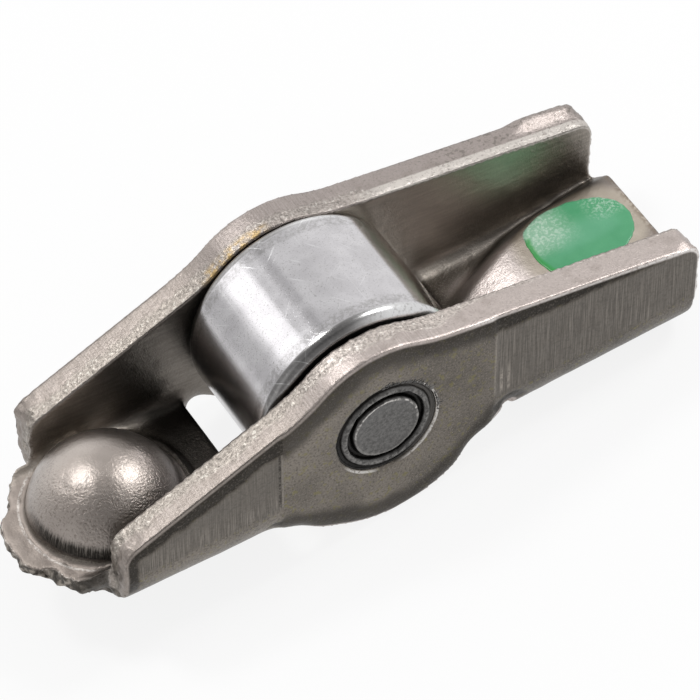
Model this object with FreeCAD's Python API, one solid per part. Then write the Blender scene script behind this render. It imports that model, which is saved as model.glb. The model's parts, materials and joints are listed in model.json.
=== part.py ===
import FreeCAD, Part
import math
import os

# A stamped-steel rocker arm of the roller finger type.
# One sheet is pressed to a channel with two cheeks. A dome at one end takes the pivot ball,
# a raised pad at the other end pushes on the valve stem, and a staked pin between the cheeks
# carries a roller on a full row of needle rollers.
# Lengths are millimetres and angles are degrees.
# The origin is the centre of the pivot ball. X runs to the valve end, Y runs along the pin
# and Z is up. The side view is drawn with the pivot end's web nearly level. The finished
# solids are then turned about the origin, so that the arm lies on its two bellies and its heel
# as it does on a bench.

# Sheet and channel
sheet = 2.64
channel_gap = 12.36
bend_outer = 4.4
bend_inner = 1.2
swell = 0.08

# Pivot end: a dome over a ball socket
dome_r = 6.0
socket_r = 4.2
socket_steps = 6
dome_foot_blend = 0.3
dome_foot_steps = 2
dome_ledge_r = 6.75
dome_ledge_rise = 0.35
socket_mouth_chamfer = 0.35
ball_above_web = 1.87
pivot_web_slope = 3.3
cheek_end_x = -3.0
cheek_end_round = 1.5
cheek_end_slant = 0.5

# Roller, needles and pin
pin_x = 18.5
pin_z = 7.2
pin_r = 4.12
pin_recess = 0.02
needle_r = 0.8
needle_length = 11.4
race_clearance = 0.02
roller_r = 8.5
roller_width = 11.7
roller_rim_round = 0.9
roller_rim_steps = 2
roller_bore_chamfer = 0.3
stake_disc_r = 2.8
stake_ridge_in = 3.3
stake_ridge_out = 3.55
stake_depth = 0.42
stake_slope = 0.1

# Window between the webs, for the roller
window_start = 9.4
window_end = 29.7
window_corner = 1.1

# Cheek outline, seen from the side. A drop is how far below the crest's radius a straight top
# edge would pass the pin.
crest_r = 7.9
crest_blend = 12.0
pivot_edge_drop = 0.9
pivot_edge_angle = 25.6
valve_edge_drop = 0.58
valve_edge_angle = -4.8
belly_r = 9.42
belly_pivot_angle = -21.0
belly_valve_angle = 43.0
belly_pivot_blend = 0.8
belly_valve_blend = 0.6
swell_start = 9.9
swell_end = 27.6
plate_end = 28.4

# Valve end: ramp, plateau and the groove under it
valve_web_z = 1.18
valve_web_slope = 6.5
valve_cheek_end = 45.2
valve_cheek_round = 1.3
valve_web_end = 45.6
ramp_length = 7.3
ramp_step = 0.05
ramp_swell = 1.15
pad_rise = 2.64
ramp_foot_start = 2.1
ramp_flat_start = 0.7
pad_foot_start = 5.5
pad_flat_start = 3.0
pad_widening_length = 2.4
pad_foot_widened = 5.9
pad_flat_widened = 4.0
pad_flat_end = 4.3
pad_side_rise = 0.75
pad_side_sink = 0.1
pad_foot_overlap = 0.12
shoulder_round = 1.2
ramp_sections = 5
groove_half_width = 3.2
groove_lead = 2.4
pad_crown = 0.3

# Torn lip of the strip beyond the dome. Its underside tapers to a thin torn edge.
lip_taper_r = 5.7
lip_edge_r = 8.0
lip_edge_thickness = 1.0
# The lip's outline, seen from above as X and Y
lip_outline = [
    (-3.6, 6.5),
    (-4.9, 5.8),
    (-5.7, 4.6),
    (-6.3, 3.5),
    (-7.3, 2.6),
    (-8.0, 1.2),
    (-7.9, -1.5),
    (-7.6, -2.6),
    (-7.1, -3.1),
    (-6.1, -3.5),
    (-5.8, -4.6),
    (-5.4, -5.3),
    (-3.6, -6.5),
]

# Paint mark on the plateau
paint_start = 0.4
paint_length = 7.9
paint_half_width = 3.5
paint_corner = 1.8
paint_film = 0.06

# Values worked out from the sizes above
inner_y = channel_gap / 2
outer_y = inner_y + sheet
belly_y = outer_y + swell
pin_half = belly_y - pin_recess
pitch_r = pin_r + race_clearance + needle_r
roller_bore_r = pitch_r + needle_r + race_clearance
needle_count = int(math.pi / math.asin(needle_r / pitch_r))
heel_x = valve_web_end - pin_x
heel_climb = (valve_web_end - window_end) * math.tan(math.radians(valve_web_slope))
heel_drop = pin_z - valve_web_z - heel_climb
lie_turn = math.asin(belly_r / math.hypot(heel_x, heel_drop)) - math.atan2(heel_drop, heel_x)

# Lengths for shapes that are cut back later: well past the part, and a little past a face
reach = 60.0
spare = 1.0
Y_AXIS = FreeCAD.Vector(0, 1, 0)
Z_AXIS = FreeCAD.Vector(0, 0, 1)


def side(x, z, y=0.0):
    """A point of the side view, at the given Y."""
    return FreeCAD.Vector(x, y, z)


def edge(a, b):
    """A straight edge."""
    return Part.LineSegment(a, b).toShape()


def arc(a, middle, b):
    """A round edge through three points."""
    return Part.Arc(a, middle, b).toShape()


def closed(points):
    """A closed wire of straight edges."""
    return Part.makePolygon(points + points[:1])


def across(wire, y_low, y_high):
    """The solid of a side outline, from one Y to another."""
    solid = Part.Face(wire).extrude(Y_AXIS * (y_high - y_low))
    solid.translate(Y_AXIS * y_low)
    return solid


def about_origin(radius, angle):
    """The point at a radius from the origin, with its angle counted from +X towards +Z."""
    turn = math.radians(angle)
    return side(radius * math.cos(turn), radius * math.sin(turn))


def about_pin(radius, angle):
    """The point at a radius from the pin, with its angle counted from +X towards +Z."""
    return side(pin_x, pin_z) + about_origin(radius, angle)


def round_steps(centre, radius, start, end, steps):
    """Points along a small round, which is made of a few flats."""
    turns = [start + (end - start) * i / steps for i in range(steps + 1)]
    return [centre + about_origin(radius, turn) for turn in turns]


def web_frame(x, z, slope):
    """Placement of a web: its own X runs up the slope, and its underside is at height 0."""
    return FreeCAD.Placement(side(x, z), FreeCAD.Rotation(Y_AXIS, -slope))


pivot_web = web_frame(0.0, 0.0, pivot_web_slope)
pivot_web.Base = pivot_web.multVec(side(0.0, -ball_above_web))
valve_web = web_frame(window_end, valve_web_z, valve_web_slope)


def rounded_corner(before, corner, after, radius):
    """Three points of the arc that rounds a corner: start, middle and end."""
    back = (before - corner).normalize()
    ahead = (after - corner).normalize()
    half = back.getAngle(ahead) / 2
    centre = corner + (back + ahead).normalize() * (radius / math.sin(half))
    leg = radius / math.tan(half)
    middle = centre + (corner - centre).normalize() * radius
    return corner + back * leg, middle, corner + ahead * leg


def top_edge_point(x, angle, drop):
    """The point of a cheek's straight top edge at the given X."""
    turn = math.radians(angle)
    height = crest_r - drop + (x - pin_x) * math.sin(turn)
    return side(x, pin_z + height / math.cos(turn))


def crest_blend_points(angle, drop, towards_valve):
    """The hollow arc between a straight top edge and the crest round the pin."""
    along = about_origin(1.0, angle)
    normal = about_origin(1.0, angle + 90)
    pin = side(pin_x, pin_z)
    height = crest_r - drop
    run = math.sqrt((crest_r + crest_blend) ** 2 - (height + crest_blend) ** 2)
    sign = 1 if towards_valve else -1
    centre = pin + normal * (height + crest_blend) + along * (sign * run)
    on_edge = centre - normal * crest_blend
    on_crest = pin + (centre - pin).normalize() * crest_r
    middle = centre + ((on_edge + on_crest) / 2 - centre).normalize() * crest_blend
    return on_edge, middle, on_crest


def cheek_outline():
    """Side view of a cheek: two straight top edges, the crest, and the belly under the pin."""
    below = -reach / 4
    corner = top_edge_point(cheek_end_x, pivot_edge_angle, pivot_edge_drop)
    valve_top = top_edge_point(valve_cheek_end, valve_edge_angle, valve_edge_drop)
    rise, rise_mid, rise_end = crest_blend_points(pivot_edge_angle, pivot_edge_drop, False)
    fall_end, fall_mid, fall = crest_blend_points(valve_edge_angle, valve_edge_drop, True)
    low_pivot = side(cheek_end_x + cheek_end_slant, below)
    low_valve = side(valve_cheek_end - cheek_end_slant, below)
    belly_a = about_pin(belly_r, belly_pivot_angle - 90)
    belly_b = about_pin(belly_r, belly_valve_angle - 90)
    run_a = belly_a.x - window_start
    run_b = window_end - belly_b.x
    start = belly_a - side(run_a, run_a * math.tan(math.radians(belly_pivot_angle)))
    end = belly_b + side(run_b, run_b * math.tan(math.radians(belly_valve_angle)))
    a = rounded_corner(low_pivot, corner, rise, cheek_end_round)
    b = rounded_corner(fall_end, valve_top, low_valve, valve_cheek_round)
    c = rounded_corner(side(window_end, below), end, belly_b, belly_valve_blend)
    d = rounded_corner(belly_a, start, side(window_start, below), belly_pivot_blend)
    return Part.Wire([
        edge(low_pivot, a[0]),
        arc(*a),
        edge(a[2], rise),
        arc(rise, rise_mid, rise_end),
        arc(rise_end, about_pin(crest_r, 90), fall),
        arc(fall, fall_mid, fall_end),
        edge(fall_end, b[0]),
        arc(*b),
        edge(b[2], low_valve),
        edge(low_valve, side(window_end, below)),
        edge(side(window_end, below), c[0]),
        arc(*c),
        edge(c[2], belly_b),
        arc(belly_b, about_pin(belly_r, -90), belly_a),
        edge(belly_a, d[0]),
        arc(*d),
        edge(d[2], side(window_start, below)),
        edge(side(window_start, below), low_pivot),
    ])


def channel(placement, x_from, x_to):
    """A length of folded channel, open at the top, with its web at the placement."""
    def point(y, h):
        return FreeCAD.Vector(x_from, y, h)

    diagonal = math.sqrt(0.5)
    out_c = outer_y - bend_outer
    in_c = inner_y - bend_inner
    in_h = sheet + bend_inner
    half = [
        point(out_c, 0),
        point(out_c + bend_outer * diagonal, bend_outer * (1 - diagonal)),
        point(outer_y, bend_outer),
        point(outer_y, reach / 2),
        point(inner_y, reach / 2),
        point(inner_y, in_h),
        point(in_c + bend_inner * diagonal, in_h - bend_inner * diagonal),
        point(in_c, sheet),
    ]
    other = [FreeCAD.Vector(p.x, -p.y, p.z) for p in half]
    section = Part.Wire([
        edge(other[0], half[0]),
        arc(half[0], half[1], half[2]),
        edge(half[2], half[3]),
        edge(half[3], half[4]),
        edge(half[4], half[5]),
        arc(half[5], half[6], half[7]),
        edge(half[7], other[7]),
        arc(other[7], other[6], other[5]),
        edge(other[5], other[4]),
        edge(other[4], other[3]),
        edge(other[3], other[2]),
        arc(other[2], other[1], other[0]),
    ])
    solid = Part.Face(section).extrude(FreeCAD.Vector(x_to - x_from, 0, 0))
    solid.Placement = placement
    return solid


def window_cut():
    """The opening for the roller, with rounded corners in the webs."""
    low = -reach / 4
    length = window_end - window_start
    block = Part.makeBox(length, channel_gap, reach, side(window_start, low, -inner_y))
    corners = [e for e in block.Edges if abs(e.tangentAt(0).z) > 0.9]
    return block.makeFillet(window_corner, corners)


def plates():
    """The flat middle of both cheeks, which stands a little proud of the ironed ends."""
    low = side(swell_start, -reach / 4, inner_y)
    plain = Part.makeBox(plate_end - swell_start, sheet, reach, low)
    proud = Part.makeBox(swell_end - swell_start, sheet + swell, reach, low)
    far = plain.fuse(proud)
    return [far, far.mirror(FreeCAD.Vector(), Y_AXIS)]


def keep_zone():
    """All that the outlines leave: two cheeks, and the webs with the torn lip between them."""
    outline = cheek_outline()
    near = across(outline, -reach / 4, -inner_y)
    far = across(outline, inner_y, reach / 4)
    low = -reach / 4
    tongue = [FreeCAD.Vector(x, y, low) for x, y in lip_outline]
    tongue.append(FreeCAD.Vector(window_start, -inner_y, low))
    tongue.append(FreeCAD.Vector(window_start, inner_y, low))
    tongue = Part.Face(closed(tongue)).extrude(Z_AXIS * reach)
    strip = Part.makeBox(reach * 2, channel_gap, reach, side(-reach, low, -inner_y))
    tongue = tongue.common(strip)
    pad_end = Part.makeBox(
        valve_web_end - window_start, channel_gap, reach, side(window_start, low, -inner_y)
    )
    return near.fuse([far, tongue, pad_end])


def dome():
    """The dome over the pivot ball, with a hollow foot where it rises out of the web."""
    floor = sheet - ball_above_web
    low = floor - sheet / 2
    blend_z = floor + dome_foot_blend
    blend_r = math.sqrt((dome_r + dome_foot_blend) ** 2 - blend_z ** 2)
    touch_angle = math.degrees(math.atan2(blend_z, blend_r))
    centre = side(blend_r, blend_z)
    foot = round_steps(centre, dome_foot_blend, 270, 180 + touch_angle, dome_foot_steps)
    corners = [side(0, dome_r), side(0, low), side(blend_r, low)] + foot
    sides = [edge(a, b) for a, b in zip(corners, corners[1:])]
    top = arc(foot[-1], about_origin(dome_r, (touch_angle + 90) / 2), side(0, dome_r))
    return on_pivot_web(Part.Wire(sides + [top]))


def dome_ledge():
    """The low ledge that the punch left round the dome's foot, on the window's side."""
    floor = sheet - ball_above_web
    profile = closed([
        side(0, floor - sheet / 2),
        side(dome_ledge_r, floor - sheet / 2),
        side(dome_ledge_r, floor + dome_ledge_rise),
        side(0, floor + dome_ledge_rise),
    ])
    window_side = Part.makeBox(reach, channel_gap, reach, side(0, -reach / 2, -inner_y))
    return on_pivot_web(profile).common(window_side)


def on_pivot_web(profile):
    """A solid turned from half a section, square to the pivot end's web."""
    solid = Part.Face(profile).revolve(FreeCAD.Vector(), Z_AXIS, 360)
    solid.rotate(FreeCAD.Vector(), Y_AXIS, -pivot_web_slope)
    return solid


def lip_taper():
    """What the tear took from under the lip, in front of the cheeks."""
    low = -ball_above_web
    steep = (sheet - lip_edge_thickness) / (lip_edge_r - lip_taper_r)
    far = reach / 2
    profile = closed([
        side(lip_taper_r - spare / steep, low - spare),
        side(far, low + (far - lip_taper_r) * steep),
        side(far, low - spare),
    ])
    front = Part.makeBox(reach, reach, reach, side(cheek_end_x - reach, -reach / 2, -reach / 2))
    return on_pivot_web(profile).common(front)


def socket():
    """The ball socket: a ceiling of flats that all touch the ball, a wall and a chamfered mouth."""
    mouth = ball_above_web
    wide = socket_r + socket_mouth_chamfer
    half_step = 45 / socket_steps
    corner_r = socket_r / math.cos(math.radians(half_step))
    ceiling = round_steps(side(0, 0), corner_r, 90 - half_step, half_step, socket_steps - 1)
    profile = [side(0, socket_r)] + ceiling
    profile += [
        side(socket_r, socket_mouth_chamfer - mouth),
        side(wide, -mouth),
        side(wide, -mouth - sheet),
        side(0, -mouth - sheet),
    ]
    return on_pivot_web(closed(profile))


def pad_section(x, foot, flat, top, side_height):
    """Cross-section of the ramp or plateau: flat top, round shoulders and sloping sides."""
    base = sheet / 2
    a = FreeCAD.Vector(x, foot, base)
    b = FreeCAD.Vector(x, foot, side_height)
    corner = FreeCAD.Vector(x, flat, top)
    inside = FreeCAD.Vector(x, 0, top)
    start, middle, end = rounded_corner(b, corner, inside, shoulder_round)
    half = [a, b, start, middle, end]
    other = [FreeCAD.Vector(p.x, -p.y, p.z) for p in half]
    return Part.Wire([
        edge(half[0], half[1]),
        edge(half[1], half[2]),
        arc(half[2], half[3], half[4]),
        edge(half[4], other[4]),
        arc(other[4], other[3], other[2]),
        edge(other[2], other[1]),
        edge(other[1], other[0]),
        edge(other[0], half[0]),
    ])


def pad():
    """The ramp that rises out of the web, and the plateau that it leads to."""
    low = sheet - pad_side_sink
    ramp = []
    for i in range(ramp_sections):
        u = i / (ramp_sections - 1)
        rise = math.sin(u * math.pi / 2) ** ramp_swell
        foot = ramp_foot_start + (pad_foot_start - ramp_foot_start) * u
        flat = ramp_flat_start + (pad_flat_start - ramp_flat_start) * u
        top = sheet + ramp_step + (pad_rise - ramp_step) * rise
        ramp.append(pad_section(ramp_length * u, foot, flat, top, low))
    end_x = (valve_web_end - window_end) / math.cos(math.radians(valve_web_slope)) + spare
    end_foot = inner_y + pad_foot_overlap
    top = sheet + pad_rise
    widened_x = ramp_length + pad_widening_length
    plateau = [
        pad_section(ramp_length, pad_foot_start, pad_flat_start, top, low),
        pad_section(widened_x, pad_foot_widened, pad_flat_widened, top, sheet),
        pad_section(end_x, end_foot, pad_flat_end, top, sheet + pad_side_rise),
    ]
    shapes = [Part.makeLoft(ramp, True, False), Part.makeLoft(plateau, True, True)]
    for shape in shapes:
        shape.Placement = valve_web
    return shapes


def valve_groove():
    """The groove under the pad that guides the valve stem, with a crowned ceiling."""
    end_x = valve_web_end - window_end + 2 * spare
    low = -spare
    ceiling = pad_rise
    steep = pad_rise / (ramp_length - groove_lead)
    start = groove_lead + low / steep
    crest = (ramp_length + end_x) / 2
    wire = Part.Wire([
        edge(side(start, low), side(ramp_length, ceiling)),
        arc(side(ramp_length, ceiling), side(crest, ceiling - pad_crown), side(end_x, ceiling)),
        edge(side(end_x, ceiling), side(end_x, low)),
        edge(side(end_x, low), side(start, low)),
    ])
    solid = across(wire, -groove_half_width, groove_half_width)
    solid.Placement = valve_web.multiply(solid.Placement)
    return solid


def rocker_arm():
    """The pressed arm: one sheet, folded, drawn, coined and pierced."""
    pivot_reach = max(window_start + window_corner, swell_start)
    valve_reach = max(window_corner, window_end - plate_end)
    pivot_end = channel(pivot_web, -reach / 4, pivot_reach)
    valve_end = channel(valve_web, -valve_reach, reach / 2)
    arm = pivot_end.fuse(valve_end).cut(window_cut())
    arm = arm.fuse(plates()).common(keep_zone()).cut(lip_taper())
    end = Part.makeBox(reach, reach, reach, side(-reach + valve_web_end, -reach / 2, -reach / 2))
    boss = [shape.common(end) for shape in pad()]
    arm = arm.fuse(boss + [dome(), dome_ledge()])
    arm = arm.cut([socket(), valve_groove(), pin_hole()])
    return arm.removeSplitter()


def pin_hole():
    """The hole for the pin through both cheeks."""
    return Part.makeCylinder(pin_r, reach, side(pin_x, pin_z, -reach / 2), Y_AXIS)


def turned(points):
    """A piece turned about the pin's axis, from points given as radius and Y."""
    wire = closed([FreeCAD.Vector(pin_x + r, y, pin_z) for r, y in points])
    return Part.Face(wire).revolve(side(pin_x, pin_z), Y_AXIS, 360)


def roller_pin():
    """The pin. Its staking punch leaves a disc and a ridge at each end, with a groove round each."""
    floor = pin_half - stake_depth
    half = [
        (0, pin_half),
        (stake_disc_r, pin_half),
        (stake_disc_r + stake_slope, floor),
        (stake_ridge_in - stake_slope, floor),
        (stake_ridge_in, pin_half),
        (stake_ridge_out, pin_half),
        (stake_ridge_out + stake_slope, floor),
        (pin_r, floor),
    ]
    mirrored = [(r, -y) for r, y in reversed(half)]
    return turned(half + mirrored)


def roller():
    """The outer ring that the cam runs on."""
    end = roller_width / 2
    centre = side(roller_r - roller_rim_round, end - roller_rim_round)
    rim = round_steps(centre, roller_rim_round, 90, 0, roller_rim_steps)
    half = [
        (roller_bore_r, end - roller_bore_chamfer),
        (roller_bore_r + roller_bore_chamfer, end),
    ]
    half += [(p.x, p.z) for p in rim]
    mirrored = [(r, -y) for r, y in reversed(half)]
    return turned(half + mirrored)


def needle(index):
    """One of the needle rollers that fill the space between pin and roller."""
    turn = 360.0 * index / needle_count
    place = about_pin(pitch_r, turn)
    base = side(place.x, place.z, -needle_length / 2)
    return Part.makeCylinder(needle_r, needle_length, base, Y_AXIS)


def paint_mark():
    """The inspection mark: a film of paint on the plateau."""
    block = Part.makeBox(
        paint_length,
        2 * paint_half_width,
        paint_film,
        FreeCAD.Vector(ramp_length + paint_start, -paint_half_width, sheet + pad_rise),
    )
    corners = [e for e in block.Edges if abs(e.tangentAt(0).z) > 0.9]
    film = block.makeFillet(paint_corner, corners)
    film.Placement = valve_web
    return film


os.makedirs("parts", exist_ok=True)

nodes = {
    "rocker_arm": rocker_arm(),
    "roller_pin": roller_pin(),
    "roller": roller(),
    "paint_mark": paint_mark(),
}
for index in range(needle_count):
    nodes["needle_%02d" % (index + 1)] = needle(index)

for name, shape in nodes.items():
    shape.rotate(FreeCAD.Vector(), Y_AXIS, math.degrees(lie_turn))
    shape.exportStep("parts/%s.step" % name)
    print(name, "solids", len(shape.Solids), "volume", round(shape.Volume, 2), shape.isValid())
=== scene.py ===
# %% [markdown]
# # A stamped rocker arm with its roller
# This lesson dresses a rocker arm of the roller finger type: one pressed steel arm, a staked
# pin, a roller on a full row of needles and a dab of green inspection paint. The arm was
# measured and drawn in a CAD program first. Here it gets the skin that pressing, shearing,
# grinding and handling leave on steel.
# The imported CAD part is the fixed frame: its bodies, joints and sizes say where everything goes.

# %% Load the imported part
import bpy
import bmesh
import json
import math
import numpy as np
from mathutils import Matrix, Vector, noise
from mathutils.bvhtree import BVHTree
from mathutils.kdtree import KDTree


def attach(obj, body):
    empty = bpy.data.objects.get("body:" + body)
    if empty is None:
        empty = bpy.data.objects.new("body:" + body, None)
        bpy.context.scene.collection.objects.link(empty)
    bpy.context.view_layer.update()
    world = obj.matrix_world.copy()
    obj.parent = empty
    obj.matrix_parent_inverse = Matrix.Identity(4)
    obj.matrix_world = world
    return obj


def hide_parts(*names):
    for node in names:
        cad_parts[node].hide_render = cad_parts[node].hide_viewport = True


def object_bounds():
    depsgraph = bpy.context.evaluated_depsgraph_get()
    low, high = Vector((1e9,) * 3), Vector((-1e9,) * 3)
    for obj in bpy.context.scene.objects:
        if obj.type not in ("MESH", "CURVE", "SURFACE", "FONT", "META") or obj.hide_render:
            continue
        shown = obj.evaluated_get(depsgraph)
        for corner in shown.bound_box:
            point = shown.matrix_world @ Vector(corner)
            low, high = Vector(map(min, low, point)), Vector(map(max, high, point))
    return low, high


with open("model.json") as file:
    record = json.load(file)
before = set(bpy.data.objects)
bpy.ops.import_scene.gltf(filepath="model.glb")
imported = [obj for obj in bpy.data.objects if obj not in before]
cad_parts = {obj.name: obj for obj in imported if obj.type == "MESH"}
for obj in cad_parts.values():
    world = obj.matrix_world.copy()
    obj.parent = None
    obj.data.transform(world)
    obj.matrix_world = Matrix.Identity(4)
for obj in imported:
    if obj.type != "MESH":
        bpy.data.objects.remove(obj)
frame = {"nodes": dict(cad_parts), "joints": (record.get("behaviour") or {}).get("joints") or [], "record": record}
cad_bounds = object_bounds()
MM = 0.001

# %% [markdown]
# The arm was drawn in side view with its pivot end's web nearly level, and then laid down on a
# bench by turning it about the pivot ball. Shapes and finishes follow the press tool, not the
# bench, so most of this lesson works in the side view: X to the valve end, Y along the pin,
# Z up, in millimetres. The turn between the two is read from the frame.

# %% The side view
PIVOT_WEB_SLOPE = math.radians(3.3)
mounts = {mount["name"]: mount for mount in frame["record"]["mounts"]}
socket_axis = mounts["ball_socket"]["axis"]
LIE_TURN = math.asin(-socket_axis[0]) + PIVOT_WEB_SLOPE
TO_BENCH = Matrix.Rotation(LIE_TURN, 3, "Y")
pin_centre = TO_BENCH.transposed() @ Vector(frame["joints"][0]["pos_m"]) / MM
PIN_X = pin_centre.x
PIN_Z = pin_centre.z


def on_bench(points):
    """Side view points in millimetres, as scene points in metres."""
    return np.asarray(points, float) @ np.array(TO_BENCH).T * MM


def in_side_view(points):
    """Scene points in metres, as side view points in millimetres."""
    return np.asarray(points, float) @ np.array(TO_BENCH) / MM


print("turn to the bench:", round(math.degrees(LIE_TURN), 2), "degrees")
print("pin centre in the side view:", round(PIN_X, 2), round(PIN_Z, 2))

# %% [markdown]
# These are the sizes that shapes and finishes need again, in millimetres. They are the press
# tool's own sizes.

# %% Sizes in millimetres
SHEET = 2.64
INNER_Y = 6.18
OUTER_Y = INNER_Y + SHEET
BELLY_Y = OUTER_Y + 0.08
DOME_R = 6.0
BALL_ABOVE_WEB = 1.87
WINDOW_START = 9.4
WINDOW_END = 29.7
SWELL_START = 9.9
SWELL_END = 27.6
VALVE_WEB_Z = 1.18
VALVE_WEB_SLOPE = math.radians(6.5)
BEND_OUTER = 4.4
PAD_TOP = 5.28
PIN_R = 4.12
PIN_HALF = BELLY_Y - 0.02
ROLLER_R = 8.5
ROLLER_HALF = 5.85
NEEDLE_R = 0.8
NEEDLE_ROW_R = 4.94
NEEDLE_LENGTH = 11.4
ROLLER_BORE_R = NEEDLE_ROW_R + NEEDLE_R + 0.02
needle_nodes = sorted(name for name in frame["nodes"] if name.startswith("needle_"))
print("needles:", len(needle_nodes))

# %% [markdown]
# ## Recipes of nodes
# A material is a small program of nodes, and so are the world's light and a geometry tree. A few
# helpers keep such programs readable: each adds a node, wires its inputs and hands back the
# output, so that a finish reads like a recipe.

# %% Helpers for recipes
class Recipe:
    """A node tree under construction."""

    def __init__(self, tree):
        self.tree = tree
        self.tree.nodes.clear()

    def node(self, kind, inputs=None, **settings):
        """A new node with its settings made and its inputs wired or set."""
        made = self.tree.nodes.new(kind)
        for name, value in settings.items():
            setattr(made, name, value)
        for name, value in (inputs or {}).items():
            self.feed(made.inputs[name], value)
        return made

    def feed(self, socket, value):
        """Wires an output into a socket, or sets the socket's value."""
        if isinstance(value, bpy.types.NodeSocket):
            self.tree.links.new(value, socket)
        else:
            socket.default_value = value

    def sum(self, operation, *values):
        """One arithmetic step."""
        step = self.node("ShaderNodeMath", operation=operation)
        for socket, value in zip(step.inputs, values):
            self.feed(socket, value)
        return step.outputs[0]

    def vector_sum(self, operation, *values):
        """One arithmetic step on vectors."""
        step = self.node("ShaderNodeVectorMath", operation=operation)
        for socket, value in zip(step.inputs, values):
            self.feed(socket, value)
        return step.outputs[0]

    def split(self, vector):
        """X, Y and Z of a vector."""
        return self.node("ShaderNodeSeparateXYZ", {"Vector": vector}).outputs[:3]

    def join(self, x, y, z):
        """A vector of three numbers."""
        return self.node("ShaderNodeCombineXYZ", {"X": x, "Y": y, "Z": z}).outputs[0]

    def rise(self, value, low, high):
        """0 below low, 1 above high, smooth between. Give high below low to turn it round."""
        step = self.node("ShaderNodeMapRange", interpolation_type="SMOOTHSTEP")
        numbers = (low, high, 0.0, 1.0) if low < high else (high, low, 1.0, 0.0)
        self.feed(step.inputs[0], value)
        for socket, number in zip(list(step.inputs)[1:5], numbers):
            socket.default_value = number
        return step.outputs[0]

    def band(self, value, middle, half_width, soft):
        """1 within half_width of the middle, smoothly 0 outside."""
        away = self.sum("ABSOLUTE", self.sum("SUBTRACT", value, middle))
        return self.rise(away, half_width + soft, half_width)

    def times(self, *values):
        """The product of several masks."""
        result = values[0]
        for value in values[1:]:
            result = self.sum("MULTIPLY", result, value)
        return result

    def flip(self, value):
        """What a mask leaves out."""
        return self.sum("SUBTRACT", 1.0, value)

    def blend(self, amount, a, b):
        """From colour a to colour b."""
        step = self.node("ShaderNodeMix", data_type="RGBA")
        for index, value in ((0, amount), (6, a), (7, b)):
            self.feed(step.inputs[index], value)
        return step.outputs[2]

    def over(self, under, colour, *masks):
        """A colour laid over another where all the masks are 1."""
        return self.blend(self.times(*masks), under, colour)

    def blend_value(self, amount, a, b):
        """From number a to number b."""
        step = self.node("ShaderNodeMix", data_type="FLOAT")
        for index, value in ((0, amount), (2, a), (3, b)):
            self.feed(step.inputs[index], value)
        return step.outputs[0]

    def cloud(self, place, scale, detail=3.0, roughness=0.55):
        """Soft noise from 0 to 1. Scale is per millimetre where the place is in millimetres."""
        inputs = {"Vector": place, "Scale": scale, "Detail": detail, "Roughness": roughness}
        return self.node("ShaderNodeTexNoise", inputs).outputs["Fac"]

    def streaks(self, place, x, y, z, detail=2.0):
        """Noise stretched along the axes with small numbers, for lines and brush marks."""
        return self.cloud(self.vector_sum("MULTIPLY", place, (x, y, z)), 1.0, detail)

    def attribute(self, name):
        """A number stored on the mesh."""
        return self.node("ShaderNodeAttribute", attribute_name=name).outputs["Fac"]

    def bump(self, height, strength, distance, normal=None):
        """A normal tilted by a height. Distance is in millimetres."""
        inputs = {"Height": height, "Strength": strength, "Distance": distance * MM}
        if normal is not None:
            inputs["Normal"] = normal
        return self.node("ShaderNodeBump", inputs).outputs[0]


class Finish(Recipe):
    """A material under construction."""

    def __init__(self, name):
        self.material = bpy.data.materials.new(name)
        self.material.use_nodes = True
        super().__init__(self.material.node_tree)
        self.output = self.node("ShaderNodeOutputMaterial")

    def side_view(self, kind="Object"):
        """Object coordinates or normals, turned back to the side view."""
        coordinates = self.node("ShaderNodeTexCoord").outputs[kind]
        inputs = {"Vector": coordinates, "Angle": -LIE_TURN}
        return self.node("ShaderNodeVectorRotate", inputs, rotation_type="Y_AXIS").outputs[0]

    def place(self):
        """The place on the part in side view millimetres."""
        return self.vector_sum("MULTIPLY", self.side_view(), (1 / MM, 1 / MM, 1 / MM))

    def surface(self, colour, roughness, normal, metallic=1.0, **sockets):
        """Ends the recipe in one surface."""
        inputs = {"Base Color": colour, "Roughness": roughness, "Metallic": metallic, "Normal": normal}
        shader = self.node("ShaderNodeBsdfPrincipled", {**inputs, **sockets})
        self.tree.links.new(shader.outputs[0], self.output.inputs[0])
        return self.material


def steel_tone(value, warmth=0.085):
    """The colour of steel in linear light. Warmth moves it towards brown."""
    return (value * (1 + 1.3 * warmth), value, value * (1 - 1.4 * warmth), 1.0)


print("recipe helpers ready")

# %% [markdown]
# ## Camera, floor and light
# The photo was taken from above the near cheek with a long lens, so lines that are parallel
# stay nearly parallel. The camera's place and turn were fitted to the outlines of the roller,
# the pin's end and both cheeks.

# %% The camera
CAMERA_PLACE = Vector((-0.0502, -0.2186, 0.2892))
CAMERA_TURN = [math.radians(angle) for angle in (37.633, 9.737, -30.491)]
camera_data = bpy.data.cameras.new("camera")
camera_data.lens = 257.14
camera_data.sensor_width = 36.0
camera_data.clip_start = 0.01
camera = bpy.data.objects.new("camera", camera_data)
camera.location = CAMERA_PLACE
camera.rotation_euler = CAMERA_TURN
bpy.context.scene.collection.objects.link(camera)
bpy.context.scene.camera = camera
print("camera at", [round(value, 3) for value in camera.location])

# %% [markdown]
# The floor is plain white card. Its colour is white, and rays that come straight from the
# camera or off shiny steel see it as white light, so that the background stays white and the
# steel mirrors it. The rest of its look is the part's soft shadow.

# %% The floor
FLOOR_SIZE = 3.0
FLOOR_OWN_LIGHT = 0.85


def seen_directly(recipe):
    """1 for rays from the camera, off gloss or through glass."""
    path = recipe.node("ShaderNodeLightPath")
    first = recipe.sum("MAXIMUM", path.outputs["Is Camera Ray"], path.outputs["Is Glossy Ray"])
    return recipe.sum("MAXIMUM", first, path.outputs["Is Transmission Ray"])


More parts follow.
